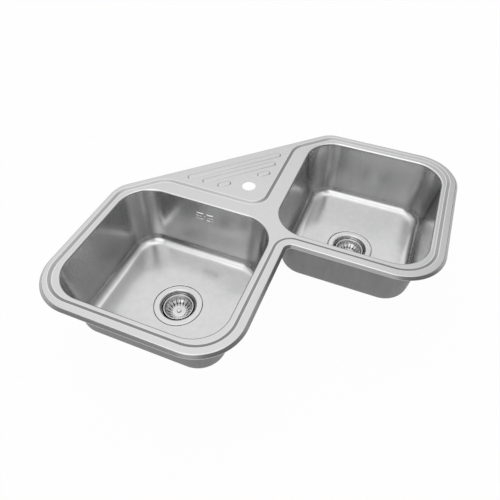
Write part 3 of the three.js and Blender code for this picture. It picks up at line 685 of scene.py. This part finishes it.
def louvre_hoods():
    """Turns each straight edge of the mesh into a hood that slopes out from the wall and tapers to
    its ends."""
    tree = ShapeTree("louvre_hoods", radius="Float")
    along = tree.node("GeometryNodeSplineParameter", output="Factor")
    taper = along.maths("SINE", along * math.pi) ** hood_taper + 0.02
    corners = [(-0.9, -0.75, 0), (1.35, 0.1, 0), (1.3, 0.45, 0), (-0.9, 0.5, 0)]
    profile = tree.node(
        "GeometryNodeCurvePrimitiveQuadrilateral",
        {"mode": "POINTS"},
        {f"Point {number}": corner for number, corner in enumerate(corners, 1)},
    )
    scale = taper * tree.given["radius"]
    return tree.ended(tree.swept(hood_rings, profile, scale, capped=True))


def grown(thing, tree, **values):
    """Runs the tree on the object with the named inputs, and keeps the result as its mesh."""
    modifier = thing.modifiers.new(tree.name, "NODES")
    modifier.node_group = tree
    for item in tree.interface.items_tree:
        name = item.name.lower().replace(" ", "_")
        if item.in_out == "INPUT" and name in values:
            modifier[item.identifier] = values[name]
    return settled(thing)


def facing_out(thing):
    """The piece with all its faces turned outwards."""
    mesh = bmesh.new()
    mesh.from_mesh(thing.data)
    bmesh.ops.recalc_face_normals(mesh, faces=mesh.faces)
    mesh.to_mesh(thing.data)
    mesh.free()
    return thing


hood_rows = bpy.data.meshes.new("hoods")
hood_ends = []
for z, inner in louvre_rows:
    hood_height = z + louvre_height / 2 + hood_overhang
    inner -= hood_overhang
    outer = louvre_outer + hood_overhang
    for x in (-outer, -inner, inner, outer):
        hood_ends.append(overflow_place @ (Vector((x, -hood_stand, hood_height)) / 1000))
hood_rows.from_pydata(hood_ends, [(i, i + 1) for i in range(0, len(hood_ends), 2)], [])
hoods = grown(made("hoods", hood_rows), louvre_hoods(), radius=hood_radius / 1000, finish=bowl_steel)
facing_out(hoods)
# Each hood is given a painted highlight all over.
painted_highlight = hoods.data.attributes.new("worn", "FLOAT", "POINT")
painted_highlight.data.foreach_set("value", [1.0] * len(painted_highlight.data))
cut_from(left_bowl, *louvre_tools())
cut_from(left_bowl, hoods, operation="UNION")
fitted(left_bowl, "sink", "satin_steel", "left_bowl")
fitted(right_bowl, "sink", "satin_steel", "right_bowl")


# ---------- Rim seal ----------
# The seal is a strip of soft closed-cell foam. It is stuck under the rim all round, and the weight
# of the sink presses it onto the worktop.

seal_width = 8.4
seal_inset = 7.8
seal_top = 6.7


def foam():
    look, graph, place = material("foam")
    sockets = {"Vector": place, "Scale": 1500}
    cells = graph.node("ShaderNodeTexVoronoi", {"feature": "F1"}, sockets, output="Distance")
    cloud = graph.noise(place, 120, 3, 0.6)
    shade = cells * 0.5 + cloud * 0.5
    colour = graph.mixed(shade, (0.018, 0.018, 0.02, 1), (0.055, 0.055, 0.06, 1))
    rough = (cloud - 0.5) * 0.1 + 0.92
    normal = graph.bump(cells + cloud * 0.6, 0.00025)
    surface(graph, base_color=colour, roughness=rough, normal=normal)
    return look


strip = Pressing()
section = [(1.2, 0), (0.35, 0.35), (0, 1.2), (0, seal_top)]
section += [(seal_width - out, height) for out, height in reversed(section)]
section = [(seal_inset + inset, height, 0) for inset, height in section]
strip_rings = strip.steps(outline, section, fineness=20)
strip.chain(strip_rings + strip_rings[:1])
fitted(made("foam_seal", strip.mesh), "sink", "foam", "rim_seal", look=foam())


# ---------- Basket wastes ----------
# Each waste clamps the bowl's recess between a polished flange, pressed in one with a cup, and a
# moulded body below it. A screw down the middle draws them together on two rubber seals, and the
# body ends in a threaded outlet.

gap = 0.3  # between pieces that touch
cup_radius = 44
cup_depth = 38
cup_lip_radius = 5
cup_bottom_radius = 11
cup_taper = 4
cup_floor_radius = cup_radius - cup_bottom_radius
cup_slots = 4
cup_slot = 13, 26, 7  # inner and outer radius, and the width of the bars between the slots
screw_radius = 4
screw_length = 20
screw_seat = gap - cup_depth
screw_top = screw_seat + 3
screw_slot_width = 1.6
screw_slot_depth = 1.2
body_radius = 50
body_wall = 3
body_side = body_radius + body_wall
body_flange_radius = 60
body_flange_bottom = -11.2
body_top = -7.2
body_floor = -44
arm_reach = 40
arm_width = 4
arm_height = 8
outlet_top = -56
outlet_bottom = -90
outlet_radius = 23.9
outlet_bore = 19.5
thread_depth = 1.2
thread_pitch = 3
thread_ridges = 6
boss_radius = 8
boss_bottom = -59
inlet_depth = 28
spigot_setback = 17
spigot_drop = 16.3
spigot_radius = 11
spigot_bore = 8
spigot_length = 16


def eased(section, radius, steps=3):
    """A section's corners rounded off, apart from those on the axis."""
    points = []
    for i, (r, z) in enumerate(section):
        here = Vector((r, z))
        before = Vector(section[i - 1]) - here
        after = Vector(section[(i + 1) % len(section)]) - here
        reach = min(radius, before.length * 0.45, after.length * 0.45)
        if r < 1e-6:
            points.append(here)
            continue
        start = here + before.normalized() * reach
        end = here + after.normalized() * reach
        points += [on_bend(start, here, end, step / steps) for step in range(steps + 1)]
    return [tuple(point) for point in points]


def backed(path, thickness):
    """The closed section of a sheet whose finished side follows the path, from rim to middle."""
    under = []
    for i, point in enumerate(path):
        here = Vector(point)
        before = (here - Vector(path[i - 1])).normalized() if i else None
        after = (Vector(path[i + 1]) - here).normalized() if i < len(path) - 1 else before
        before = before or after
        along = (before + after).normalized()
        reach = thickness / max(0.4, along.dot(before))
        under.append((here.x - along.y * reach, here.y + along.x * reach))
    return [*reversed(under), *path]


def turned(section, spot=Vector((0, 0)), base=0, steps=96, place=placed):
    """A closed section of (radius, height) pairs, anticlockwise, turned about an upright axis."""
    press = Pressing(place)
    rings = []
    for radius, height in section:
        points = [spot] if radius < 1e-6 else circle(spot, radius, steps)
        rings.append(press.ring(points, base + height))
    press.chain(rings if section[0][0] < 1e-6 else rings + rings[:1])
    return press.mesh


def bar(radius, bottom, top, **where):
    """A round bar, as a tool or a plain pin to be joined to something."""
    return made("tool", turned([(0, bottom), (radius, bottom), (radius, top), (0, top)], **where))


def bright_steel():
    """Polished steel with faint turning marks and the odd water spot."""
    look, graph, place = material("bright_steel")
    fine = graph.noise(place, 1400, 2, 0.5)
    cloud = graph.noise(place, 45, 3, 0.55)
    spots = graph.smooth(graph.noise(place, 130, 2, 0.4), 0.62, 0.72)
    colour = graph.mixed(cloud * 0.7 + fine * 0.3, grey(0.60), grey(0.76))
    rough = (cloud - 0.5) * 0.10 + (fine - 0.5) * 0.06 + spots * 0.05 + 0.19
    normal = graph.bump(fine * 0.5 + cloud * 0.5, 0.00005)
    surface(graph, base_color=colour, metallic=1.0, roughness=rough, normal=normal)
    return look


def rubber():
    """Black moulded rubber, slightly dusty."""
    look, graph, place = material("rubber")
    cloud = graph.noise(place, 60, 3, 0.6)
    fine = graph.noise(place, 1300, 2, 0.6)
    colour = graph.mixed(cloud, grey(0.012), grey(0.03))
    rough = (cloud - 0.5) * 0.25 + 0.6
    surface(graph, base_color=colour, roughness=rough, normal=graph.bump(fine, 0.00008))
    return look


def white_plastic():
    """Moulded polypropylene with a fine spark-eroded texture."""
    look, graph, place = material("white_plastic")
    cloud = graph.noise(place, 25, 3, 0.5)
    fine = graph.noise(place, 1000, 2, 0.6)
    colour = graph.mixed(cloud, (0.70, 0.70, 0.67, 1), (0.78, 0.78, 0.755, 1))
    rough = (cloud - 0.5) * 0.12 + (fine - 0.5) * 0.10 + 0.44
    surface(graph, base_color=colour, roughness=rough, normal=graph.bump(fine, 0.00007))
    return look


def round_cuts():
    """Cuts one tool from the piece at even turns about an upright axis."""
    tree = ShapeTree("round_cuts", tool="Object", count="Int", first_turn="Float", axis="Vector")
    given = tree.given
    tool = tree.node("GeometryNodeObjectInfo", {}, {0: given["tool"]}, output="Geometry")
    sockets = {"Count": given["count"], "Position": given["axis"]}
    spots = tree.node("GeometryNodePoints", {}, sockets)
    turn = (tree.node("GeometryNodeInputIndex") + given["first_turn"]) * (2 * math.pi)
    turn = tree.node("ShaderNodeCombineXYZ", {}, {"Z": turn / given["count"]})
    sockets = {"Points": spots, "Instance": tool, "Rotation": turn}
    tools = tree.node("GeometryNodeInstanceOnPoints", {}, sockets)
    tools = tree.node("GeometryNodeRealizeInstances", {}, {"Geometry": tools})
    settings = {"operation": "DIFFERENCE", "solver": "EXACT"}
    sockets = {"Mesh 1": given["geometry"], "Mesh 2": tools}
    return tree.ended(tree.node("GeometryNodeMeshBoolean", settings, sockets))


def drawn_in(own_frame):
    """Places what is drawn in the piece's own frame, in millimetres."""
    return lambda x, y, z: own_frame @ (Vector((x, y, z)) / 1000)


def outline_tool(points, bottom, top):
    """An upright tool with the outline of the points, drawn about the origin."""
    press = Pressing(drawn_in(Matrix.Identity(4)))
    low = press.ring(points, bottom)
    high = press.ring(points, top)
    press.band(low, high)
    press.field(high)
    press.mesh.faces.new(list(reversed(low)))
    return made("tool", press.mesh)


def kidney(inner, outer, bridge, steps=10):
    """The outline of a quarter slot between two radii, with bars of one width between slots."""
    points = []
    for radius, order in ((outer, 1), (inner, -1)):
        span = math.pi / 4 - bridge / 2 / radius
        for step in range(steps + 1):
            angle = order * span * (2 * step / steps - 1)
            points.append(Vector((math.cos(angle), math.sin(angle))) * radius)
    return points


def flange_and_cup(name, spot):
    path = [(flange_radius, -0.9), (flange_radius - 0.5, -0.35), (flange_radius - 1.5, 0)]
    path += [(51, 0), (50.2, 0.12), (49.3, 0.12)]
    for degrees in range(9, 91, 9):
        angle = math.radians(degrees)
        out = cup_radius + cup_lip_radius * (1 - math.sin(angle))
        path.append((out, -cup_lip_radius * (1 - math.cos(angle))))
    path += [(43.5, -7.6), (42.4, -8.3), (42, -11.2), (40.8, -12), (40.2, -18)]
    for step in range(9):
        angle = math.pi / 2 * step / 8
        out = cup_floor_radius + (cup_bottom_radius - cup_taper) * math.cos(angle)
        path.append((out, -cup_depth + cup_bottom_radius * (1 - math.sin(angle))))
    path.append((screw_radius + gap, -cup_depth))
    thing = made(name, turned(eased(backed(path, 1), 0.25, 2), spot, waste_top, 128))
    slot = outline_tool(kidney(*cup_slot), waste_top - cup_depth - 8, waste_top - cup_depth + 8)
    grown(thing, cuts, tool=slot, count=cup_slots, axis=placed(*spot, 0), finish=polished)
    bpy.data.objects.remove(slot)
    return thing


def waste_body(name, spot, inlet):
    """The body with its flange, threaded outlet and arms to the screw's boss, and with a spigot
    where it has an inlet, which says how the spigot is turned."""
    neck = outlet_radius - thread_depth
    section = [(outlet_bore, outlet_bottom), (neck, outlet_bottom)]
    for ridge in range(thread_ridges):
        z = outlet_bottom + ridge * thread_pitch + 1.5
        section += [(neck, z - 0.6), (outlet_radius, z), (outlet_radius, z + 0.5), (neck, z + 1.1)]
    section += [(neck, outlet_top - body_wall), (body_side, body_floor)]
    section += [(body_side, body_flange_bottom), (body_flange_radius, body_flange_bottom)]
    section += [(body_flange_radius, body_top), (body_radius, body_top), (body_radius, body_floor)]
    section.append((outlet_bore, outlet_top))
    thing = made(name, turned(eased(section, 0.7, 2), spot, waste_top))
    at = {"spot": spot, "base": waste_top, "steps": 48}
    arms = []
    for quarter in range(2):
        turn = Matrix.Rotation(math.pi / 4 + quarter * math.pi / 2, 4, "Z")
        place = Matrix.Translation(placed(*spot, waste_top)) @ turn
        low = (-arm_reach, -arm_width / 2, body_floor - arm_height)
        arms.append(block(low, (arm_reach, arm_width / 2, body_floor), place))
    cone = [(0, outlet_bottom), (outlet_bore + 1, outlet_bottom), (outlet_bore + 1, outlet_top)]
    cone += [(body_radius + 1, body_floor), (0, body_floor)]
    hollow = made("tool", turned(cone, spot, waste_top, 48))
    spider = cut_from(arms[0], arms[1], operation="UNION")
    cut_from(spider, hollow, operation="INTERSECT")
    cut_from(thing, spider, bar(boss_radius, boss_bottom, body_floor + 1, **at), operation="UNION")
    bores = [bar(screw_radius + gap, boss_bottom - 5, body_floor + 6, **at)]
    if inlet is not None:
        lie = Matrix.Translation(placed(*spot, waste_top - inlet_depth)) @ inlet
        level = {"place": drawn_in(lie), "steps": 48}
        pipe = bar(spigot_radius, body_radius + 1, body_side + spigot_length, **level)
        cut_from(thing, pipe, operation="UNION")
        bores.append(bar(spigot_bore, body_radius - 4, body_side + spigot_length + 4, **level))
    return cut_from(thing, *bores)


def waste_screw(name, spot):
    tip = screw_seat - screw_length
    section = [(0, tip), (3.2, tip), (screw_radius, tip + 1), (screw_radius, screw_seat)]
    section += [(8, screw_seat), (8, screw_seat + 1.5), (6.5, screw_top - 0.1), (0, screw_top)]
    thing = made(name, turned(eased(section, 0.4), spot, waste_top, 64))
    place = Matrix.Translation(placed(*spot, waste_top + screw_top))
    half = screw_slot_width / 2
    return cut_from(thing, block((-12, -half, -screw_slot_depth), (12, half, 2), place))


polished = bright_steel()
black_rubber = rubber()
plastic = white_plastic()
cuts = round_cuts()

# The overflow's housing leans with the left bowl's back wall, and its spigot hangs plumb. The left
# waste's inlet looks towards that spigot.
lean = math.radians(6)
wall_run = 35.7  # from the top of the bowl's wall down to the overflow
housing_spot = placed(overflow_across, left_back - math.tan(lean) * wall_run, overflow_height)
housing_place = Matrix.Translation(housing_spot) @ Matrix.Rotation(-lean, 4, "X")
spigot_top = housing_place @ Vector((0, spigot_setback / 1000, -spigot_drop / 1000))
spigot_end = spigot_top - Vector((0, 0, spigot_length / 1000))
inlet_middle = placed(*bowls["left"][1], waste_top - inlet_depth)
inlet_height = Vector((0, 0, (waste_top - inlet_depth) / 1000 - spigot_end.z))
inward = (inlet_middle - spigot_end - inlet_height).normalized()
level_turn = Matrix.Rotation(math.atan2(-inward.y, -inward.x), 4, "Z")
inlet_turn = level_turn @ Matrix.Rotation(math.pi / 2, 4, "Y")

seal_sections = {
    "flange_seal": [(48, -2.3), (57, -2.3), (57, -1.3), (48, -1.3)],
    "body_seal": [(50, -6.9), (60, -6.9), (60, -3.9), (50, -3.9)],
}
for side, (_, spot) in bowls.items():
    flange = flange_and_cup(f"{side}_flange_and_cup", spot)
    fitted(flange, "sink", "bright_steel", f"{side}_waste_flange")
    body = waste_body(f"{side}_body", spot, inlet_turn if side == "left" else None)
    fitted(body, "sink", "white_plastic", f"{side}_waste_body", look=plastic)
    screw = waste_screw(f"{side}_clamp_screw", spot)
    fitted(screw, "sink", "bright_steel", f"{side}_waste_screw", look=polished)
    for part, ring in seal_sections.items():
        seal = made(f"{side}_{part}_ring", turned(eased(ring, 0.5), spot, waste_top))
        fitted(seal, "sink", "rubber", f"{side}_{part}", look=black_rubber)


# ---------- Strainer baskets ----------
# A basket of thin polished steel, pressed and slotted, sits in each cup and strains what drains
# through it. Its knob's stem goes through a moulded rubber plug under it, which closes the cup's
# floor when the basket is pushed down.

basket_top = -8
basket_floor = -29
dome_top = -26
stem_radius = 3
plug_top = -30.1
plug_bottom = -32.1
strainer_slots = 18
slot_end = 22.3
slot_half_width = 1.5

for side, (_, spot) in bowls.items():
    path = [(38, basket_top - 0.5), (37.7, basket_top - 0.1), (37, basket_top), (36.2, basket_top)]
    path += [(35.4, basket_top - 0.4), (34.8, -9.4), (34.5, -11), (34.1, -14), (33.5, -16.6)]
    path += [(32.3, -18.8), (30.2, -20.8), (27.4, -22.9), (24.6, -25), (22.9, -26.8), (21.9, -28.2)]
    path += [(21.2, basket_floor), (20.2, basket_floor), (19.3, -28.5), (18.6, -27.2), (17.8, -26.4)]
    path += [(16.6, dome_top), (10, dome_top + 0.5), (stem_radius + gap, dome_top + 0.6)]
    basket = made(f"{side}_strainer", turned(eased(backed(path, 0.8), 0.5, 2), spot, waste_top, 144))
    half = slot_half_width
    angles = [math.pi / 2 + math.pi * step / 8 for step in range(9)]
    slot = [Vector((slot_end + half * math.cos(a), half * math.sin(a))) for a in angles]
    taper = [(25.5, -half), (29, -0.6), (34, -0.45), (34, 0.45), (29, 0.6), (25.5, half)]
    slot += [Vector(point) for point in taper]
    tool = outline_tool(slot, waste_top + basket_floor - 6, waste_top - 11)
    turns = {"count": strainer_slots, "first_turn": 0.5, "axis": placed(*spot, 0)}
    grown(basket, cuts, tool=tool, finish=polished, **turns)
    bpy.data.objects.remove(tool)
    fitted(basket, f"{side}_basket", "bright_steel", f"{side}_basket")

    ring = [(stem_radius + gap, plug_bottom), (26, plug_bottom), (28, gap - cup_depth)]
    ring += [(32, gap - cup_depth), (33, plug_top - 3), (30, plug_top), (stem_radius + gap, plug_top)]
    plug = made(f"{side}_plug", turned(eased(ring, 0.9), spot, waste_top))
    fitted(plug, f"{side}_basket", "rubber", f"{side}_basket_plug", look=black_rubber)

    foot = plug_bottom - gap
    neck = dome_top + gap
    shape = [(0, foot - 1.5), (7, foot - 1.5), (7, foot), (stem_radius, foot), (stem_radius, neck + 0.6)]
    shape += [(4.6, neck + 0.6), (6, neck + 1.6), (6, neck + 2.8), (4.8, neck + 3.8), (0, neck + 4)]
    knob = made(f"{side}_knob", turned(eased(shape, 0.6), spot, waste_top, 48))
    fitted(knob, f"{side}_basket", "bright_steel", f"{side}_basket_knob", look=polished)


# ---------- Overflow ----------
# Behind the louvres a moulded housing is clamped to the bowl's back wall by a steel screw, with a
# rubber gasket between. Its spigot takes the hose.

housing_front = 3.6
housing_back = housing_front + 26
housing_wall = 2
housing_margin = 8  # round the louvres
housing_boss_radius = 5
gasket_margin = 10
opening_margin = housing_margin - housing_wall
gasket_levels = [(0.4, 1.3), (0, 1.6), (0, 3.0), (0.4, 3.3)]
overflow_screw_radius = 2.5
overflow_screw_turn = 0.6


def out_of_wall(x, y, z):
    return housing_place @ (Vector((x, z, -y)) / 1000)


def slab(name, margin, levels, radius=6.0):
    """A rounded plate against the wall, through (inset, distance out from the wall) levels."""
    x = louvre_outer + margin
    z = louvre_pitch + louvre_height / 2 + margin
    corners = [(x, z, radius), (-x, z, radius), (-x, -z, radius), (x, -z, radius)]
    press = Pressing(out_of_wall)
    rings = [press.ring(rounded(corners, inset, 8), out) for inset, out in levels]
    press.chain(rings)
    press.mesh.faces.new(rings[-1])
    press.mesh.faces.new(list(reversed(rings[0])))
    return made(name, press.mesh)


gasket = slab("gasket", gasket_margin, gasket_levels)
cut_from(gasket, slab("tool", opening_margin, [(0, -5), (0, 9)]))
fitted(gasket, "sink", "rubber", "overflow_gasket", look=black_rubber)

levels = [(0, housing_front), (0, housing_back - 3), (0.9, housing_back - 0.9), (3, housing_back)]
housing = slab("housing", housing_margin, levels)
cut_from(housing, slab("tool", opening_margin, [(0, 0), (0, housing_back - housing_wall)], 4))
plumb = {"place": drawn_in(Matrix.Translation(spigot_top)), "steps": 48}
spigot = bar(spigot_radius, -spigot_length, 0, **plumb)
boss = bar(housing_boss_radius, housing_front, housing_back - 1, place=out_of_wall, steps=32)
cut_from(housing, boss, spigot, operation="UNION")
bore = bar(spigot_bore, -spigot_length - 4, 2, **plumb)
screw_hole = bar(overflow_screw_radius + gap, -5, 18.5, place=out_of_wall, steps=32)
cut_from(housing, bore, screw_hole)
fitted(housing, "sink", "white_plastic", "overflow_elbow", look=plastic)

section = [(0, -2.8), (1.6, -2.6), (3, -1.9), (3.8, -1), (4, -0.3), (overflow_screw_radius, -0.3)]
section += [(overflow_screw_radius, 17.6), (2.1, 18), (0, 18)]
screw = made("overflow_clamp_screw", turned(eased(section, 0.25), place=out_of_wall, steps=48))
slot_place = housing_place @ Matrix.Rotation(overflow_screw_turn, 4, "Y")
cut_from(screw, block((-6, -5, -0.5), (6, -1.7, 0.5), slot_place))
fitted(screw, "sink", "bright_steel", "overflow_screw", look=polished)


# ---------- Overflow hose ----------
# A corrugated hose of white plastic runs from the housing's spigot down to the left waste's
# inlet. A nut at each end pulls the hose's collar onto a rubber washer.

hose_radius, hose_root, hose_wall, hose_pitch = 10, 8.4, 1.1, 5
collar_radius, collar_length = 11, 2
hose_bend = 48
ring_spacing = 0.5
drop_steps, turn_steps, run_steps = 200, 160, 160
joint_length = 2.6
cuff = 5.6  # plain length at each end
nut_radius, nut_thread_radius, nut_mouth_radius = 14.5, 11.3, 9.2
nut_grip = 10


def hose_points():
    """The hose's middle line, a point about every half millimetre."""
    down = Vector((0, 0, -1))
    start = spigot_end * 1000 + down * joint_length
    end = inlet_middle * 1000 - inward * (body_side + spigot_length + joint_length)
    bend_start = Vector((start.x, start.y, waste_top - inlet_depth + hose_bend))
    centre = bend_start + inward * hose_bend
    bend_end = centre + down * hose_bend
    points = [start.lerp(bend_start, step / drop_steps) for step in range(drop_steps)]
    for step in range(turn_steps):
        angle = math.pi / 2 * step / turn_steps
        short = inward * hose_bend * math.cos(angle)
        points.append(centre - short + down * (hose_bend * math.sin(angle)))
    points += [bend_end.lerp(end, step / run_steps) for step in range(run_steps + 1)]
    return [point / 1000 for point in points]


def ribbed_tube():
    """Sweeps a ribbed tube, with a collar at each end, along the line of the mesh."""
    sizes = ("length", "pitch", "cuff", "root_radius", "rib_height", "collar_height", "collar_length")
    tree = ShapeTree("ribbed_tube", **{size: "Float" for size in sizes}, rings="Int")
    given = tree.given
    along = tree.node("GeometryNodeSplineParameter", output="Length")
    from_end = along.maths("MINIMUM", along, given["length"] - along)
    ribbed = tree.smooth(from_end, given["cuff"], given["cuff"] + given["pitch"] * 0.15)
    turns = (along - given["cuff"]) / given["pitch"]
    wave = 0.5 - along.maths("COSINE", turns * (2 * math.pi)) * 0.5
    collar = 1 - tree.smooth(from_end, given["collar_length"], given["collar_length"] * 1.2)
    ribs = wave**0.7 * ribbed * given["rib_height"]
    radius = given["root_radius"] + ribs + collar * given["collar_height"]
    profile = tree.node("GeometryNodeCurvePrimitiveCircle", {}, {"Resolution": 32, "Radius": 1.0})
    return tree.ended(tree.swept(given["rings"], profile, radius))


points = hose_points()
hose_length = sum((b - a).length for a, b in zip(points, points[1:]))
line = bpy.data.meshes.new("overflow_pipe")
line.from_pydata(points, [(i, i + 1) for i in range(len(points) - 1)], [])
hose = made("overflow_pipe", line)
ribbed_length = hose_length - 2 * cuff / 1000
grown(
    hose,
    ribbed_tube(),
    length=hose_length,
    pitch=ribbed_length / round(ribbed_length / (hose_pitch / 1000)),
    cuff=cuff / 1000,
    root_radius=hose_root / 1000,
    rib_height=(hose_radius - hose_root) / 1000,
    collar_height=(collar_radius - hose_root) / 1000,
    collar_length=collar_length / 1000,
    rings=round(hose_length / (ring_spacing / 1000)),
    finish=plastic,
)
thickened(facing_out(hose), thickness=hose_wall)
fitted(hose, "sink", "white_plastic", "overflow_hose", crease=60)

for name, end, direction in (
    ("upper", spigot_end, Vector((0, 0, 1))),
    ("lower", points[-1] + inward * joint_length / 1000, inward),
):
    lie = Matrix.Translation(end) @ direction.to_track_quat("Z", "Y").to_matrix().to_4x4()
    ring = [(spigot_bore, -2.3), (spigot_radius, -2.3), (spigot_radius, -0.3), (spigot_bore, -0.3)]
    washer = made(f"{name}_washer", turned(eased(ring, 0.4), steps=64, place=drawn_in(lie)))
    fitted(washer, "sink", "rubber", f"{name}_hose_washer", look=black_rubber)
    section = [(nut_mouth_radius, -7.9), (nut_radius, -7.9), (nut_radius, nut_grip)]
    section += [(nut_thread_radius, nut_grip), (nut_thread_radius, -4.9), (nut_mouth_radius, -4.9)]
    nut = made(f"{name}_nut", turned(eased(section, 0.6), steps=96, place=drawn_in(lie)))
    fitted(nut, "sink", "white_plastic", f"{name}_hose_nut", look=plastic)


# ---------- Studio ----------
# The sink stands on a large pale floor, under a wide soft lamp. The room is bright above and behind
# it and dimmer on the camera's side, so that the bowls' walls show their shape.

floor_reach = 30
floor_height = -0.2615
daylight = 0.97  # how white the floor and the room look from the camera
lamp_spot = Vector((0.1, -0.45, 2.6))
lamp_aim = Vector((0.1, -0.1, 0))
toward_camera, camera_right = (0.354, -0.935, 0), (0.935, 0.354, 0)
camera_angles = 20.75, 47.82, 1.33  # azimuth, elevation and roll
camera_spot = (0.426, -0.9588, 0.7883)
camera_lens = 33.19

floor_mesh = bmesh.new()
bmesh.ops.create_grid(floor_mesh, x_segments=1, y_segments=1, size=floor_reach)
bmesh.ops.translate(floor_mesh, vec=(0, 0, floor_height), verts=floor_mesh.verts)
floor = made("floor", floor_mesh)
look, graph, _ = material("floor")
path = graph.node("ShaderNodeLightPath")
seen = path.other("Is Camera Ray") + path.other("Is Glossy Ray") + path.other("Is Transmission Ray")
pale = graph.node("ShaderNodeBsdfDiffuse", {}, {"Color": (0.86, 0.86, 0.86, 1)})
white = graph.node("ShaderNodeEmission", {}, {"Color": (1, 1, 1, 1), "Strength": 1.0})
blend = graph.node("ShaderNodeMixShader", {}, {0: seen * daylight, 1: pale, 2: white})
graph.node("ShaderNodeOutputMaterial", {}, {"Surface": blend})
floor.data.materials.append(look)
floor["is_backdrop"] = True

world = bpy.data.worlds.new("studio")
bpy.context.scene.world = world
world.use_nodes = True
graph = Graph(world.node_tree)
direction = graph.node("ShaderNodeTexCoord", output="Generated")
height = graph.node("ShaderNodeSeparateXYZ", {}, {0: direction}).other("Z")
near = graph.smooth(graph.along(direction, toward_camera), 0.0, 0.4)
across = graph.along(direction, camera_right)
behind_sky = graph.smooth(height, 0.32, 0.62)
near_sky = graph.smooth(height, 0.44, 0.64)
sky = behind_sky + (near_sky - behind_sky) * near
overhead_glow = graph.smooth(height, 0.84, 0.97) * 0.16
horizon = (1 - graph.smooth(height, 0.03, 0.14)) * (1 - graph.smooth(across, 0.5, 0.8)) * 0.3

# On the camera's side one upright band of the room is brighter, and what lies beside it is dark.
aside = across + 0.28
aside = graph.smooth(aside.maths("ABSOLUTE", aside), 0.12, 0.45)
lobe = (1 - aside) * (1 - graph.smooth(height, 0.8, 0.93))
aside = aside * (1 - graph.smooth(height, 0.7, 0.8) * graph.smooth(across, 0.1, 0.3))
facing = near * lobe * 0.5 - near * aside * 0.6 + 1

# Behind the sink the room is dimmer to the right, and dimmer again far out to both sides.
facing = facing * (1 - graph.smooth(across, 0.2, 0.46) * (1 - near) * 0.32)
across = across.maths("ABSOLUTE", across)
facing = facing * (1 - graph.smooth(across, 0.5, 0.75) * (1 - near) * 0.4)
glow = (sky * 0.57 + 0.48) * facing + overhead_glow + horizon
seen = graph.node("ShaderNodeLightPath").other("Is Camera Ray")
glow = glow + seen * (daylight - glow)
background = graph.node("ShaderNodeBackground", {}, {"Color": (1, 1, 1, 1), "Strength": glow})
graph.node("ShaderNodeOutputWorld", {}, {"Surface": background})

lamp = bpy.data.lights.new("overhead", "AREA")
lamp.shape = "RECTANGLE"
lamp.size, lamp.size_y = 1.8, 1.0
lamp.energy = 1.8
overhead = bpy.data.objects.new("overhead", lamp)
overhead.location = lamp_spot
overhead.rotation_euler = (lamp_spot - lamp_aim).to_track_quat("Z", "Y").to_euler()
bpy.context.scene.collection.objects.link(overhead)

azimuth, elevation, roll = (math.radians(angle) for angle in camera_angles)
back = Vector((math.sin(azimuth), -math.cos(azimuth), 0)) * math.cos(elevation)
back.z = math.sin(elevation)
level = Vector((math.cos(azimuth), math.sin(azimuth), 0))
upward = back.cross(level)
right = level * math.cos(roll) + upward * math.sin(roll)
upward = back.cross(right)
camera = bpy.data.objects.new("camera", bpy.data.cameras.new("camera"))
camera.data.lens = camera_lens
camera.data.sensor_width = 36
camera_turn = Matrix((right, upward, back)).transposed().to_4x4()
camera.matrix_world = Matrix.Translation(camera_spot) @ camera_turn
bpy.context.scene.collection.objects.link(camera)
bpy.context.scene.camera = camera
bpy.context.scene.view_settings.view_transform = "Standard"

plain = [[list(corner) for corner in box] for box in (cad_box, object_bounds())]
